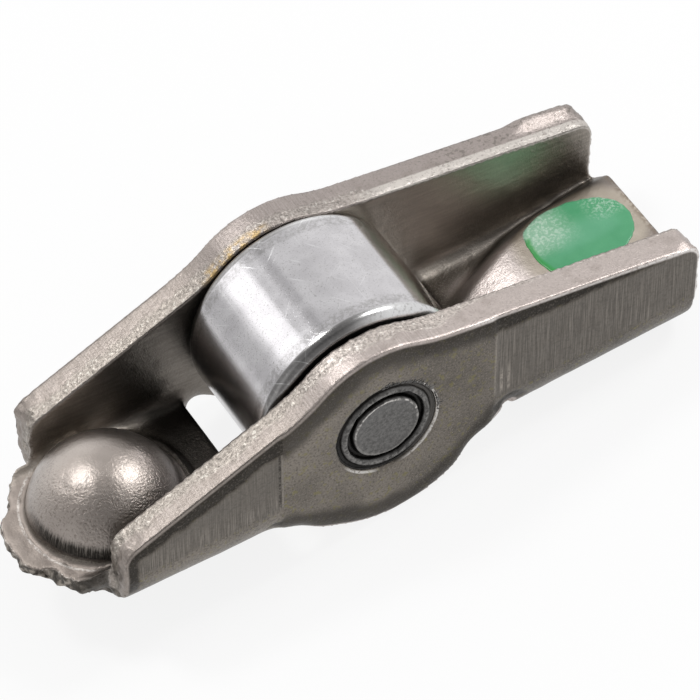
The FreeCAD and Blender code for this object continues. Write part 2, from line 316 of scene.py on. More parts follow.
card = Finish("white_card")
card_paint = card.node("ShaderNodeBsdfDiffuse", {"Color": (0.82, 0.82, 0.82, 1.0)})
card_light = card.node("ShaderNodeEmission", {"Color": (1.0, 1.0, 1.0, 1.0), "Strength": 1.0})
card_mix = card.node("ShaderNodeMixShader")
card.feed(card_mix.inputs[0], card.sum("MULTIPLY", seen_directly(card), FLOOR_OWN_LIGHT))
card.feed(card_mix.inputs[1], card_paint.outputs[0])
card.feed(card_mix.inputs[2], card_light.outputs[0])
card.feed(card.output.inputs[0], card_mix.outputs[0])

floor_mesh = bpy.data.meshes.new("floor")
half = FLOOR_SIZE / 2
floor_z = cad_bounds[0].z
corners = [(-half, -half, floor_z), (half, -half, floor_z), (half, half, floor_z), (-half, half, floor_z)]
floor_mesh.from_pydata(corners, [], [(0, 1, 2, 3)])
floor = bpy.data.objects.new("floor", floor_mesh)
bpy.context.scene.collection.objects.link(floor)
floor_mesh.materials.append(card.material)
print("floor at", round(floor_z / MM, 2), "mm")

# %% [markdown]
# The world is a white tent. Steel is a mirror, so a tent that is equally white everywhere would
# leave it flat. Overhead and in front it is greyer, behind the part stands a brighter panel, and
# a long soft box makes the white band on the roller, with a darker gap beside it. Each of them is
# a mask over the directions that a ray can take. Where they stand was read off the roller, whose
# round tread mirrors every direction in turn.

# %% Where the tent is bright and dark
LONG_BOX_X = -0.50
LONG_BOX_HALF_WIDTH = 0.12
GAP_DIRECTION_X = -0.09
GAP_HALF_WIDTH = 0.045

world = bpy.data.worlds.new("studio")
bpy.context.scene.world = world
world.use_nodes = True
tent = Recipe(world.node_tree)
towards_x, towards_y, towards_z = tent.split(tent.node("ShaderNodeTexCoord").outputs["Generated"])
above = tent.rise(towards_z, 0.45, 0.90)
front = tent.times(tent.rise(towards_y, -0.3, -0.55), tent.rise(towards_x, 0.45, 0.2))
front = tent.times(front, tent.rise(towards_z, 0.0, 0.15))
behind_above = tent.times(tent.rise(towards_y, 0.2, 0.45), tent.rise(towards_z, 0.45, 0.65))
gap = tent.times(tent.band(towards_x, GAP_DIRECTION_X, GAP_HALF_WIDTH, 0.07), behind_above)
dark_side = tent.times(tent.rise(towards_x, -0.69, -0.735), tent.rise(towards_y, -0.1, 0.1))
panel = tent.times(tent.rise(towards_y, 0.68, 0.85), tent.rise(towards_z, -0.05, 0.1))
box_height = tent.times(tent.band(towards_y, 0.61, 0.09, 0.05), tent.rise(towards_z, 0.3, 0.4))
long_box = tent.times(tent.band(towards_x, LONG_BOX_X, LONG_BOX_HALF_WIDTH, 0.06), box_height)
print("tent: long box at", LONG_BOX_X, "gap at", GAP_DIRECTION_X)

# %% [markdown]
# The masks are laid over each other with their strengths. Only reflections see the result: the
# light that falls on the part is even, so the steel's colours render as they are written. The
# camera itself sees plain white.

# %% How strong each part of the tent is
WORLD_LIGHT = 0.62
OVERHEAD = 0.38
OVERHEAD_BEHIND = 0.77
FRONT_SHADE = 0.42
BACK_PANEL = 1.6
LONG_BOX = 1.7
GAP_SHADE = 0.66
DARK_SIDE_SHADE = 0.6

overhead_shade = tent.blend_value(tent.rise(towards_y, 0.1, 0.55), OVERHEAD, OVERHEAD_BEHIND)
overhead = tent.blend_value(above, 1.0, overhead_shade)
shown = tent.times(overhead, tent.blend_value(gap, 1.0, GAP_SHADE))
shown = tent.times(shown, tent.blend_value(dark_side, 1.0, DARK_SIDE_SHADE))
shown = tent.times(shown, tent.blend_value(front, 1.0, FRONT_SHADE))
shown = tent.blend_value(panel, shown, BACK_PANEL)
shown = tent.blend_value(long_box, shown, LONG_BOX)
path = tent.node("ShaderNodeLightPath")
glossy = tent.sum("MAXIMUM", path.outputs["Is Glossy Ray"], path.outputs["Is Transmission Ray"])
strength = tent.blend_value(glossy, WORLD_LIGHT, shown)
strength = tent.blend_value(path.outputs["Is Camera Ray"], strength, 1.0)
tent_light = tent.node("ShaderNodeBackground", {"Color": (1.0, 1.0, 1.0, 1.0), "Strength": strength})
tent_output = tent.node("ShaderNodeOutputWorld")
tent.feed(tent_output.inputs[0], tent_light.outputs[0])
bpy.context.scene.view_settings.view_transform = "Standard"
print("tent: overhead", OVERHEAD, "gap", GAP_SHADE, "panel", BACK_PANEL)

# %% [markdown]
# Two soft lamps make the two bright spots on the dome and the shadow on the card. Their
# directions were worked out from where those spots lie.

# %% Lamps
LAMP_DISTANCE = 0.5
LIT_PLACE = Vector((0.02, 0.0, 0.0))


def soft_lamp(name, direction, size, power):
    """A soft rectangular lamp that faces the part from a direction."""
    data = bpy.data.lights.new(name, "AREA")
    data.shape = "RECTANGLE"
    data.size = size[0]
    data.size_y = size[1]
    data.energy = power
    lamp = bpy.data.objects.new(name, data)
    towards = Vector(direction).normalized()
    lamp.location = LIT_PLACE + towards * LAMP_DISTANCE
    lamp.rotation_euler = towards.to_track_quat("Z", "Y").to_euler()
    bpy.context.scene.collection.objects.link(lamp)
    return lamp


soft_lamp("back_lamp", direction=(-0.210, 0.390, 0.896), size=(0.10, 0.10), power=0.75)
soft_lamp("right_lamp", direction=(0.684, -0.017, 0.730), size=(0.13, 0.15), power=1.00)
print("two soft lamps")

# %% [markdown]
# ## Working on a mesh's points
# The arm's marks are too many to model one by one, so they are worked out for all points of its
# mesh at once, as arrays of numbers. These helpers copy a CAD mesh, read its points and normals,
# write the points back, and keep a number for each point where a material can read it.

# %% Helpers for meshes
def link(obj):
    """Puts an object in the scene and returns it."""
    bpy.context.scene.collection.objects.link(obj)
    return obj


def as_plain_mesh(obj, name):
    """The evaluated object as a mesh of its own, with no modifiers. The first object goes."""
    graph = bpy.context.evaluated_depsgraph_get()
    mesh = bpy.data.meshes.new_from_object(obj.evaluated_get(graph))
    mesh.name = name
    bpy.data.objects.remove(obj)
    return mesh


def merged_copy(node):
    """A copy of a CAD mesh with its loose triangles joined."""
    mesh = frame["nodes"][node].data.copy()
    work = bmesh.new()
    work.from_mesh(mesh)
    bmesh.ops.remove_doubles(work, verts=work.verts, dist=1e-6)
    work.to_mesh(mesh)
    work.free()
    return mesh


def points_of(mesh):
    """A mesh's vertices as an array."""
    flat = np.empty(len(mesh.vertices) * 3)
    mesh.vertices.foreach_get("co", flat)
    return flat.reshape(-1, 3)


def normals_of(mesh):
    """A mesh's vertex normals as an array, turned to the side view."""
    flat = np.empty(len(mesh.vertices) * 3)
    mesh.vertex_normals.foreach_get("vector", flat)
    return flat.reshape(-1, 3) @ np.array(TO_BENCH)


def move_points(mesh, points):
    """Writes changed vertices back."""
    mesh.vertices.foreach_set("co", np.asarray(points, np.float32).ravel())
    mesh.update()


def smooth_step(value, low, high):
    """0 at low, 1 at high, smooth between, for arrays."""
    share = np.clip((value - low) / (high - low), 0.0, 1.0)
    return share * share * (3 - 2 * share)


def store(mesh, name, values):
    """Keeps one number for each vertex, for the materials to read."""
    layer = mesh.attributes.new(name, "FLOAT", "POINT")
    layer.data.foreach_set("value", np.asarray(values, np.float32))


print("mesh helpers ready")

# %% [markdown]
# ## The pressed arm
# The CAD mesh is exact but has hard edges and flat facets. Real pressed steel has none: each
# edge is rolled or broken a little. Bevels would round the edges, but leave no points for marks
# in between. So a voxel remesh rebuilds the skin as small, even quads, and a light smoothing
# rounds its edges. The dome is put back on its true sphere later.

# %% A fine skin for the arm
SKIN_CELL = 0.214
SKIN_SMOOTHING = 4

blank = link(bpy.data.objects.new("arm_blank", merged_copy("rocker_arm")))
remesh = blank.modifiers.new("skin", "REMESH")
remesh.mode = "VOXEL"
remesh.voxel_size = SKIN_CELL * MM
smoothing = blank.modifiers.new("broken_edges", "SMOOTH")
smoothing.factor = 0.5
smoothing.iterations = SKIN_SMOOTHING
arm_mesh = as_plain_mesh(blank, "pressed_arm")
skin = in_side_view(points_of(arm_mesh))
print("arm skin:", len(skin), "points,", 2 * len(arm_mesh.polygons), "triangles")

# %% [markdown]
# Where a belly plate ends low on the cheek, the sheet flows from the plate into the bend without
# a corner. That takes far more smoothing than the edges. A copy of the skin is smoothed there
# many times, and the skin moves towards the copy by a share that fades out, so that the softened
# stretch has no border.

# %% Soften the bellies' low corners
BELLY_CORNER_TOP = 3.0
BELLY_CORNER_REACH = 3.6
BELLY_CORNER_FULL = 1.2
BELLY_CORNER_SMOOTHING = 60

corner_away = np.minimum(abs(skin[:, 0] - SWELL_START), abs(skin[:, 0] - SWELL_END))
low_outside = (abs(skin[:, 1]) > INNER_Y - 1.4) & (skin[:, 2] < BELLY_CORNER_TOP + 1.0)
near_corner = low_outside & (corner_away < BELLY_CORNER_REACH + 1.0)
soften = bmesh.new()
soften.from_mesh(arm_mesh)
soften.verts.ensure_lookup_table()
corner_verts = [soften.verts[index] for index in np.flatnonzero(near_corner)]
for _ in range(BELLY_CORNER_SMOOTHING):
    bmesh.ops.smooth_vert(soften, verts=corner_verts, factor=0.5,
                          use_axis_x=True, use_axis_y=True, use_axis_z=True)
softened = in_side_view(np.array([tuple(vert.co) for vert in soften.verts]))
soften.free()
softness = smooth_step(corner_away, BELLY_CORNER_REACH, BELLY_CORNER_FULL)
softness *= smooth_step(skin[:, 2], BELLY_CORNER_TOP, BELLY_CORNER_FULL)
softness *= smooth_step(abs(skin[:, 1]), INNER_Y - 1.0, INNER_Y - 0.2)
skin += (softened - skin) * softness[:, None]
move_points(arm_mesh, on_bench(skin))
facing = normals_of(arm_mesh)
print("softened points:", int((softness > 0.5).sum()))

# %% [markdown]
# Many marks follow the cut rim of the cheeks, where the press sheared the blank. So each point
# of the skin learns how far it lies from that rim in side view. The rim itself is found as the
# narrow faces in the middle of the cheek walls.

# %% How far each point lies from the cut rim
FAR_AWAY = 9.0
from_middle = abs(skin[:, 1])
across_wall = from_middle - INNER_Y
mid_wall = abs(across_wall - SHEET / 2) < 0.25
over_window = (skin[:, 0] > WINDOW_START) & (skin[:, 0] < WINDOW_END)
is_cut = mid_wall & (abs(facing[:, 1]) < 0.5) & ((facing[:, 2] > -0.25) | over_window)
is_cut &= np.hypot(skin[:, 0] - PIN_X, skin[:, 2] - PIN_Z) > PIN_R + 0.5
rim_points = skin[is_cut]
rim_tree = KDTree(len(rim_points))
for index, point in enumerate(rim_points):
    rim_tree.insert((point[0], 0.0, point[2]), index)
rim_tree.balance()
rim = np.full(len(skin), FAR_AWAY)
on_wall = across_wall > -0.4
rim[on_wall] = [rim_tree.find((x, 0.0, z))[2] for x, y, z in skin[on_wall]]
print("rim points:", len(rim_points), "points on the cheeks:", int(on_wall.sum()))

# %% [markdown]
# Nothing on a pressed part is quite even, so three clouds of soft noise, from slow to fine, are
# worked out for every point. The marks that follow are varied with them.

# %% Three clouds for every point
def cloud_at(points, scale, octaves=2, offset=0.0):
    """Soft noise around 0 at many points. Scale is per millimetre."""
    shift = Vector((offset, offset, offset))
    return np.array([noise.fractal(Vector(p) * scale + shift, 1.0, 2.0, octaves) for p in points])


slow = cloud_at(skin, 0.5, 2)
medium = cloud_at(skin, 1.3, 2, 7.0)
fine = cloud_at(skin, 3.1, 2, 13.0)
print("clouds reach", [round(float(abs(cloud).max()), 2) for cloud in (slow, medium, fine)])

# %% [markdown]
# Where the ironing tool ends, the sheet's old surface is left as a sunken strip under the near
# top edge, which the steel's recipe paints dark as shade. It is widest beside the ramp and runs out towards the
# valve end's corner.
# Shearing also rolls the edge in. Both depths follow from the distance to the cut rim.

# %% Roll in the edges
ROLL_PLACES = (-3.0, 6.0, 30.0, 37.0, 43.0)
ROLL_WIDTHS = (0.9, 1.5, 1.25, 0.7, 0.12)
ROLL_DEPTH = 0.09
STRIP_DEPTH = 0.07

roll_width = np.interp(skin[:, 0], ROLL_PLACES, ROLL_WIDTHS) * (1 + 0.25 * slow)
outer_face = smooth_step(across_wall, SHEET - 0.5, SHEET - 0.2) * smooth_step(abs(facing[:, 1]), 0.4, 0.7)
on_plate = smooth_step(skin[:, 0], SWELL_START - 0.2, SWELL_START + 0.2)
on_plate *= smooth_step(skin[:, 0], SWELL_END + 0.2, SWELL_END - 0.2)
strip_soft = 0.12 + 0.9 * on_plate
roll = outer_face * smooth_step(rim, roll_width + strip_soft, roll_width - 0.1)
roll_in = ROLL_DEPTH * smooth_step(rim, roll_width, 0.0) ** 2 * outer_face
inward = -np.sign(skin[:, 1])
skin[:, 1] += inward * (roll_in + STRIP_DEPTH * roll * (1 - on_plate))
print("deepest roll:", round(float(roll_in.max()), 3), "mm")

# %% [markdown]
# Shearing works in two stages: first the punch cuts a smooth band, then the rest of the sheet's
# thickness breaks away in grains. So the inner half of each cut face is sunk a little and
# roughened. At the valve end the smooth band takes nearly the whole thickness. Elsewhere the skin
# only undulates.

# %% Break the cut faces
BREAK_SINK = 0.05
BREAK_GRAIN = 0.03
UNDULATION = 0.025

cut_face = smooth_step(rim, 0.5, 0.15) * smooth_step(abs(facing[:, 1]), 0.8, 0.5)
cut_face *= smooth_step(across_wall, -0.25, 0.0)
break_width = 1.25 + 0.35 * slow + 0.25 * medium
valve_half = smooth_step(skin[:, 0], 24.0, 28.0)
break_width = break_width * (1 - 0.75 * valve_half)
broken = cut_face * smooth_step(across_wall, break_width + 0.15, break_width - 0.15)
flat_facing = facing * np.array([1.0, 0.0, 1.0])
sink = -BREAK_SINK * broken + BREAK_GRAIN * broken * fine
skin += flat_facing * sink[:, None]
skin += facing * (UNDULATION * slow * (1 - cut_face))[:, None]
print("broken points:", int((broken > 0.5).sum()))

# %% [markdown]
# The strip that carried the blank through the press was torn off beyond the dome. A tear leaves
# ridges and teeth, so the torn face is pushed in and out with ridged noise: noise folded at zero,
# which has sharp crests. The dome keeps its true sphere, apart from a burr that the punch pushed
# up round its foot on the lip's side.

# %% Tear the lip and shape the dome's foot
TEAR_DEPTH = 0.5
TEAR_GRAIN = 0.03
BURR_R = 6.45
BURR_RISE = 0.06
NICK_DEPTH = 0.06

round_dome = np.hypot(skin[:, 0], skin[:, 1])
in_front = smooth_step(skin[:, 0], -2.2, -3.4) * smooth_step(from_middle, INNER_Y + 0.2, INNER_Y - 0.3)
torn = in_front * smooth_step(round_dome, 6.3, 6.8) * smooth_step(facing[:, 2], 0.75, 0.4)
torn *= smooth_step(skin[:, 2], -1.95, -1.6)
ridges = 1 - 2 * abs(cloud_at(skin, 0.5, 2, 31.0))
skin += facing * (torn * (TEAR_DEPTH * (ridges - 0.75) + TEAR_GRAIN * fine))[:, None]

height_over_web = skin[:, 2] - (SHEET - BALL_ABOVE_WEB) - skin[:, 0] * math.tan(PIVOT_WEB_SLOPE)
lip_side = smooth_step(skin[:, 0], 1.5, -1.5)
burr = np.exp(-((round_dome - BURR_R) / 0.13) ** 2) * lip_side
burr *= smooth_step(height_over_web, -0.35, -0.1) * smooth_step(height_over_web, 0.9, 0.4)
skin[:, 2] += burr * BURR_RISE * (1 + medium)
ball_distance = np.linalg.norm(skin, axis=1)
on_dome = (abs(ball_distance - DOME_R) < 0.3) & (height_over_web > 1.1)
skin[on_dome] *= (DOME_R / ball_distance[on_dome])[:, None]
lip_top = in_front * smooth_step(facing[:, 2], 0.6, 0.9)
skin[:, 2] += lip_top * NICK_DEPTH * medium
print("torn points:", int((torn > 0.5).sum()), "dome points:", int(on_dome.sum()))

# %% [markdown]
# The ironing tool stopped short at both ends of the belly plates and left a ridge there. A few
# more marks come from shearing and handling: the far edge has a torn bump near the valve end, and
# the cheeks' end corners are dented, which slow noise does well.

# %% Ridges and dents
RIDGE_RISE = 0.05
FAR_BUMP_START = 38.2
FAR_BUMP_END = 45.0
FAR_BUMP_RISE = 0.36
PIVOT_CORNER_X = -0.4
CORNER_DENT = 0.16
VALVE_CORNER_X = 42.6
END_DENT = 0.14
ridge_left = np.exp(-((skin[:, 0] - SWELL_START) / 0.13) ** 2)
ridge_right = np.exp(-((skin[:, 0] - SWELL_END) / 0.16) ** 2)
ridge_span = smooth_step(skin[:, 2], 3.0, 3.6) * smooth_step(rim, roll_width, roll_width + 0.3)
skin[:, 1] -= inward * outer_face * ridge_span * (ridge_left + ridge_right) * RIDGE_RISE
far_bump = smooth_step(skin[:, 0], FAR_BUMP_START, FAR_BUMP_START + 2.0)
far_bump *= smooth_step(skin[:, 0], FAR_BUMP_END, FAR_BUMP_END - 1.4)
far_bump *= smooth_step(across_wall, 0.9, 2.3) * cut_face * (skin[:, 1] > 0)
skin += flat_facing * (far_bump * FAR_BUMP_RISE * (1 + 0.15 * medium))[:, None]
corner_dents = smooth_step(skin[:, 0], PIVOT_CORNER_X, PIVOT_CORNER_X - 1.6) * cut_face * (slow + medium)
skin += flat_facing * (CORNER_DENT * corner_dents)[:, None]
end_dents = smooth_step(skin[:, 0], VALVE_CORNER_X, VALVE_CORNER_X + 1.8) * cut_face * (medium + 0.6 * slow)
skin += flat_facing * (END_DENT * end_dents)[:, None]

bench = on_bench(skin)
low_corner = np.array(cad_bounds[0])
high_corner = np.array(cad_bounds[1])
move_points(arm_mesh, np.clip(bench, low_corner, high_corner))
print("arm shaped")

# %% [markdown]
# The pressed steel recipe reads a few of these measures again, so they are kept on the mesh:
# the distance from the rim, the rolled strip, the broken half of the cut faces, the torn face,
# and the height above the bend, which tells ironed steel from the bend below it.

# %% Keep the measures on the mesh
pivot_bend_top = -BALL_ABOVE_WEB + BEND_OUTER + skin[:, 0] * math.tan(PIVOT_WEB_SLOPE)
valve_bend_top = VALVE_WEB_Z + BEND_OUTER + (skin[:, 0] - WINDOW_END) * math.tan(VALVE_WEB_SLOPE)
bend_top = np.where(skin[:, 0] < PIN_X, pivot_bend_top, valve_bend_top)
store(arm_mesh, "rim", rim)
store(arm_mesh, "roll", roll)
store(arm_mesh, "broken", broken)
store(arm_mesh, "torn", torn)
store(arm_mesh, "above_bend", skin[:, 2] - bend_top)
print("measures kept:", [layer.name for layer in arm_mesh.attributes if layer.data_type == "FLOAT"])

# %% [markdown]
# ## The paint mark
# An inspector dabbed green paint on the plateau. A dab is a round film with a wandering edge,
# so it is made as rings of points inside an outline, dropped on the steel by casting rays, and
# given a thickness that runs out at its edge. The outline is a few points on the web, U along
# it and V along the pin, joined smoothly.

# %% The paint's outline
PAINT_MIDDLE = (11.8, 0.4)
PAINT_POINTS = [
    (7.65, 1.2), (8.0, 2.75), (9.7, 3.75), (11.6, 3.8), (13.3, 3.35), (14.75, 2.65), (15.7, 1.5),
    (15.85, 0.1), (15.2, -1.5), (13.6, -2.6), (11.5, -3.2), (9.4, -3.0), (8.1, -2.1), (7.7, -0.9),
]
PAINT_SPOKES = 200
PAINT_RINGS = 36
PAINT_FILM = 0.07
PAINT_SUNK = 0.03

paint_offsets = np.array(PAINT_POINTS) - np.array(PAINT_MIDDLE)
point_turns = np.arctan2(paint_offsets[:, 1], paint_offsets[:, 0])
point_reaches = np.hypot(paint_offsets[:, 0], paint_offsets[:, 1])
spoke_turns = np.arange(PAINT_SPOKES) * 2 * math.pi / PAINT_SPOKES
reaches = np.interp(spoke_turns, point_turns, point_reaches, period=2 * math.pi)
for _ in range(3):
    reaches = (np.roll(reaches, 1) + 2 * reaches + np.roll(reaches, -1)) / 4
spoke_places = np.stack([np.cos(spoke_turns), np.sin(spoke_turns), np.zeros(PAINT_SPOKES)], 1)
reaches = reaches + 0.08 * cloud_at(spoke_places * 5.0, 0.9, 4)


def on_valve_web(u, v, h):
    """Side view points from places on the valve end's web."""
    slope_sin = math.sin(VALVE_WEB_SLOPE)
    slope_cos = math.cos(VALVE_WEB_SLOPE)
    x = WINDOW_END + u * slope_cos - h * slope_sin
    z = VALVE_WEB_Z + u * slope_sin + h * slope_cos
    return np.stack([x, v, z], -1)


print("paint reaches from", round(float(reaches.min()), 2), "to", round(float(reaches.max()), 2), "mm")

# %% [markdown]
# Wet paint flows into every hollow below it. So each point of the rings is dropped on the steel
# along the web's own normal, and the film's top and underside follow the steel there. Near its
# edge the film gets a slight bead, where drying paint piles up. The underside lies a little in
# the steel, so that no gap can show.

# %% Drop the paint on the steel
PAINT_BEAD = 0.02
shares = (np.arange(PAINT_RINGS) + 1) / PAINT_RINGS
ring_u = PAINT_MIDDLE[0] + shares[:, None] * (reaches * np.cos(spoke_turns))[None, :]
ring_v = PAINT_MIDDLE[1] + shares[:, None] * (reaches * np.sin(spoke_turns))[None, :]
paint_u = np.append(ring_u.ravel(), PAINT_MIDDLE[0])
paint_v = np.append(ring_v.ravel(), PAINT_MIDDLE[1])
paint_share = np.append(np.repeat(shares, PAINT_SPOKES), 0.0)
steel_tree = BVHTree.FromPolygons([tuple(p) for p in skin], [tuple(f.vertices) for f in arm_mesh.polygons])
starts = on_valve_web(paint_u, paint_v, np.full(len(paint_u), PAD_TOP + 3.0))
up_web = Vector((-math.sin(VALVE_WEB_SLOPE), 0.0, math.cos(VALVE_WEB_SLOPE)))
hits = np.array([steel_tree.ray_cast(Vector(start), -up_web)[0] for start in starts])
film = PAINT_FILM * (1 - paint_share ** 14) * (1 + 0.35 * np.clip(cloud_at(hits, 0.8, 2), -1, 1))
film += PAINT_BEAD * np.exp(-((paint_share - 0.95) / 0.03) ** 2)
paint_top = hits + np.array(up_web) * film[:, None]
paint_under = hits - np.array(up_web) * PAINT_SUNK
print("film up to", round(float(film.max()), 3), "mm")

# %% [markdown]
# The rings of points are joined by quads, with triangles round the middle, once for the top and
# once for the underside with the points in turned order, so that both face outwards. A last row
# of quads closes the rim. The paint's material will need U, V and the share of the way out, so
# they are kept on the mesh.

# %% Join the paint's points
paint_faces = []
centre = PAINT_RINGS * PAINT_SPOKES
under = len(paint_top)
for spoke in range(PAINT_SPOKES):
    after = (spoke + 1) % PAINT_SPOKES
    paint_faces.append((centre, spoke, after))
    paint_faces.append((under + centre, under + after, under + spoke))
    for ring in range(PAINT_RINGS - 1):
        a = ring * PAINT_SPOKES + spoke
        b = ring * PAINT_SPOKES + after
        c = b + PAINT_SPOKES
        d = a + PAINT_SPOKES
        paint_faces.append((a, d, c, b))
        paint_faces.append((under + a, under + b, under + c, under + d))
    rim_a = (PAINT_RINGS - 1) * PAINT_SPOKES + spoke
    rim_b = (PAINT_RINGS - 1) * PAINT_SPOKES + after
    paint_faces.append((rim_a, under + rim_a, under + rim_b, rim_b))
paint_mesh = bpy.data.meshes.new("paint_dab")
paint_points = on_bench(np.concatenate([paint_top, paint_under]))
paint_mesh.from_pydata([tuple(point) for point in paint_points], [], paint_faces)
store(paint_mesh, "web_u", np.tile(paint_u, 2))
store(paint_mesh, "web_v", np.tile(paint_v, 2))
store(paint_mesh, "out_share", np.tile(paint_share, 2))
print("paint faces:", len(paint_faces))

# %% [markdown]
# Round the dab the steel keeps a pale dried margin, so the arm also learns how far each point
# of the plateau lies outside the paint.

# %% The pale margin round the paint
from_web = skin - np.array([WINDOW_END, 0.0, VALVE_WEB_Z])
web_u = from_web[:, 0] * math.cos(VALVE_WEB_SLOPE) + from_web[:, 2] * math.sin(VALVE_WEB_SLOPE)
web_h = -from_web[:, 0] * math.sin(VALVE_WEB_SLOPE) + from_web[:, 2] * math.cos(VALVE_WEB_SLOPE)
off_u = web_u - PAINT_MIDDLE[0]
off_v = skin[:, 1] - PAINT_MIDDLE[1]
turns = np.arctan2(off_v, off_u)
edge_reach = np.interp(turns, spoke_turns, reaches, period=2 * math.pi)
outside_paint = np.hypot(off_u, off_v) - edge_reach
margin = smooth_step(outside_paint, 1.7, 0.5) * smooth_step(web_h, SHEET + 1.6, SHEET + 2.2)
store(arm_mesh, "margin", margin * smooth_step(facing[:, 2], 0.6, 0.8))
print("margin points:", int((margin > 0.5).sum()))

# %% [markdown]
# ## Pressed steel
# One sheet, but not one finish. The belly plates keep a brown-grey mottled skin with olive
# specks. The ironed ends carry fine lines that run up and down. The rolled strip is painted dark as shade, the
# cut faces are bright, smooth outside and speckled where they broke. The dome is granular.
# Each zone is a mask made of places and of the measures on the mesh, and the masks are blended
# over each other like layers of paint.

# %% Where the zones of the steel lie
steel = Finish("pressed_steel")
place = steel.place()
x, y, z = steel.split(place)
ny, nz = steel.split(steel.side_view("Normal"))[1:]
off_middle = steel.sum("ABSOLUTE", y)
rim_away = steel.attribute("rim")
rolled = steel.attribute("roll")
broken_half = steel.attribute("broken")
torn_face = steel.attribute("torn")
above_bend = steel.attribute("above_bend")
dried = steel.attribute("margin")

wavy = steel.cloud(place, 0.9, 2.0)
side_face = steel.rise(steel.sum("ABSOLUTE", ny), 0.5, 0.8)
outer_side = steel.times(side_face, steel.rise(off_middle, OUTER_Y - 0.7, OUTER_Y - 0.3))
cut = steel.times(steel.rise(rim_away, 0.34, 0.14), steel.rise(off_middle, INNER_Y - 0.25, INNER_Y))
pivot_ironed = steel.rise(x, SWELL_START + 0.05, SWELL_START - 0.05)
valve_ironed = steel.rise(x, SWELL_END - 0.05, SWELL_END + 0.05)
limit_lines = steel.streaks(place, 7.0, 1.0, 0.1, 2.0)
wavy_limit = steel.sum("MULTIPLY_ADD", wavy, 1.2, steel.sum("SUBTRACT", above_bend, 1.5))
wavy_limit = steel.sum("MULTIPLY_ADD", limit_lines, 1.8, wavy_limit)
over_bend = steel.rise(wavy_limit, -0.3, 0.3)
not_rolled = steel.flip(rolled)
ball_away = steel.node("ShaderNodeVectorMath", {0: place}, operation="LENGTH").outputs["Value"]
near_ball = steel.times(steel.band(ball_away, DOME_R, 0.22, 0.15), steel.rise(z, 0.95, 1.3))
dome_zone = steel.times(near_ball, steel.rise(off_middle, INNER_Y, INNER_Y - 0.4))
foot_away = steel.sum("SQRT", steel.sum("ADD", steel.times(x, x), steel.times(y, y)))
lip_zone = steel.times(steel.rise(foot_away, 5.9, 6.2), steel.rise(x, 0.6, -1.6))
lip_zone = steel.times(lip_zone, steel.rise(off_middle, INNER_Y + 0.1, INNER_Y - 0.2))
print("zones: outer side, cut, ironed ends, dome, lip")

# %% [markdown]
# The plates' skin is the sheet as it was rolled and hardened. Three clouds make it: a wide one
# for the mottling, a fine one for dark grains and a finer one for bright grains. It is darker
# behind the pin. A few olive specks are dried oil.

# %% Tones of the plates
mottle = steel.rise(steel.cloud(place, 0.28, 4.0), 0.3, 0.7)
grain = steel.cloud(place, 5.5, 3.0)
sand = steel.cloud(place, 11.0, 2.0)
behind_pin = steel.rise(x, 15.0, 26.0)
OLIVE = (0.20, 0.18, 0.07, 1.0)
low_tone = steel.blend(behind_pin, steel_tone(0.126, 0.10), steel_tone(0.084, 0.10))
high_tone = steel.blend(behind_pin, steel_tone(0.190, 0.10), steel_tone(0.132, 0.10))
tone = steel.blend(mottle, low_tone, high_tone)
tone = steel.over(tone, steel_tone(0.06), steel.rise(grain, 0.45, 0.66), 0.75)
tone = steel.over(tone, steel_tone(0.32), steel.rise(sand, 0.5, 0.7), 0.55)
specks = steel.times(steel.rise(steel.cloud(place, 2.4, 3.0), 0.54, 0.64), steel.rise(wavy, 0.40, 0.56))
tone = steel.over(tone, OLIVE, specks, outer_side, 0.5)
print("tones of the plates")

# %% [markdown]
# Ironing drags the sheet over the tool and leaves lines that run up and down. Noise stretched
# along Z makes them: fine ones at both ends, and coarser light and dark ones at the valve end.
# Where the ironed face ends, above the bend, they end raggedly.

# %% Tones of the ironed ends
up_lines = steel.streaks(place, 17.0, 1.0, 0.35, 3.0)
wide_lines = steel.streaks(place, 11.0, 0.8, 0.16, 3.0)
ironed = steel.times(outer_side, over_bend, not_rolled)
pivot_lines = steel.times(ironed, pivot_ironed)
valve_lines = steel.times(ironed, valve_ironed)
near_limit = steel.rise(above_bend, 2.6, 0.4)
line_tone = steel.blend(steel.rise(up_lines, 0.35, 0.7), steel_tone(0.112), steel_tone(0.158))
line_tone = steel.over(line_tone, steel_tone(0.085), steel.rise(grain, 0.45, 0.7), 0.5)
scratched = steel.times(near_limit, steel.rise(up_lines, 0.5, 0.62))
line_tone = steel.over(line_tone, steel_tone(0.26), scratched, 0.6)
valve_tone = steel.blend(steel.rise(up_lines, 0.35, 0.7), steel_tone(0.100), steel_tone(0.165))
valve_tone = steel.over(valve_tone, steel_tone(0.075), steel.rise(grain, 0.45, 0.7), 0.45)
valve_tone = steel.over(valve_tone, steel_tone(0.25), steel.rise(wide_lines, 0.56, 0.66), 0.5)
valve_tone = steel.over(valve_tone, steel_tone(0.07), steel.rise(wide_lines, 0.46, 0.36), 0.5)
tone = steel.over(tone, line_tone, pivot_lines)
tone = steel.over(tone, valve_tone, valve_lines)
print("tones of the ironed ends")
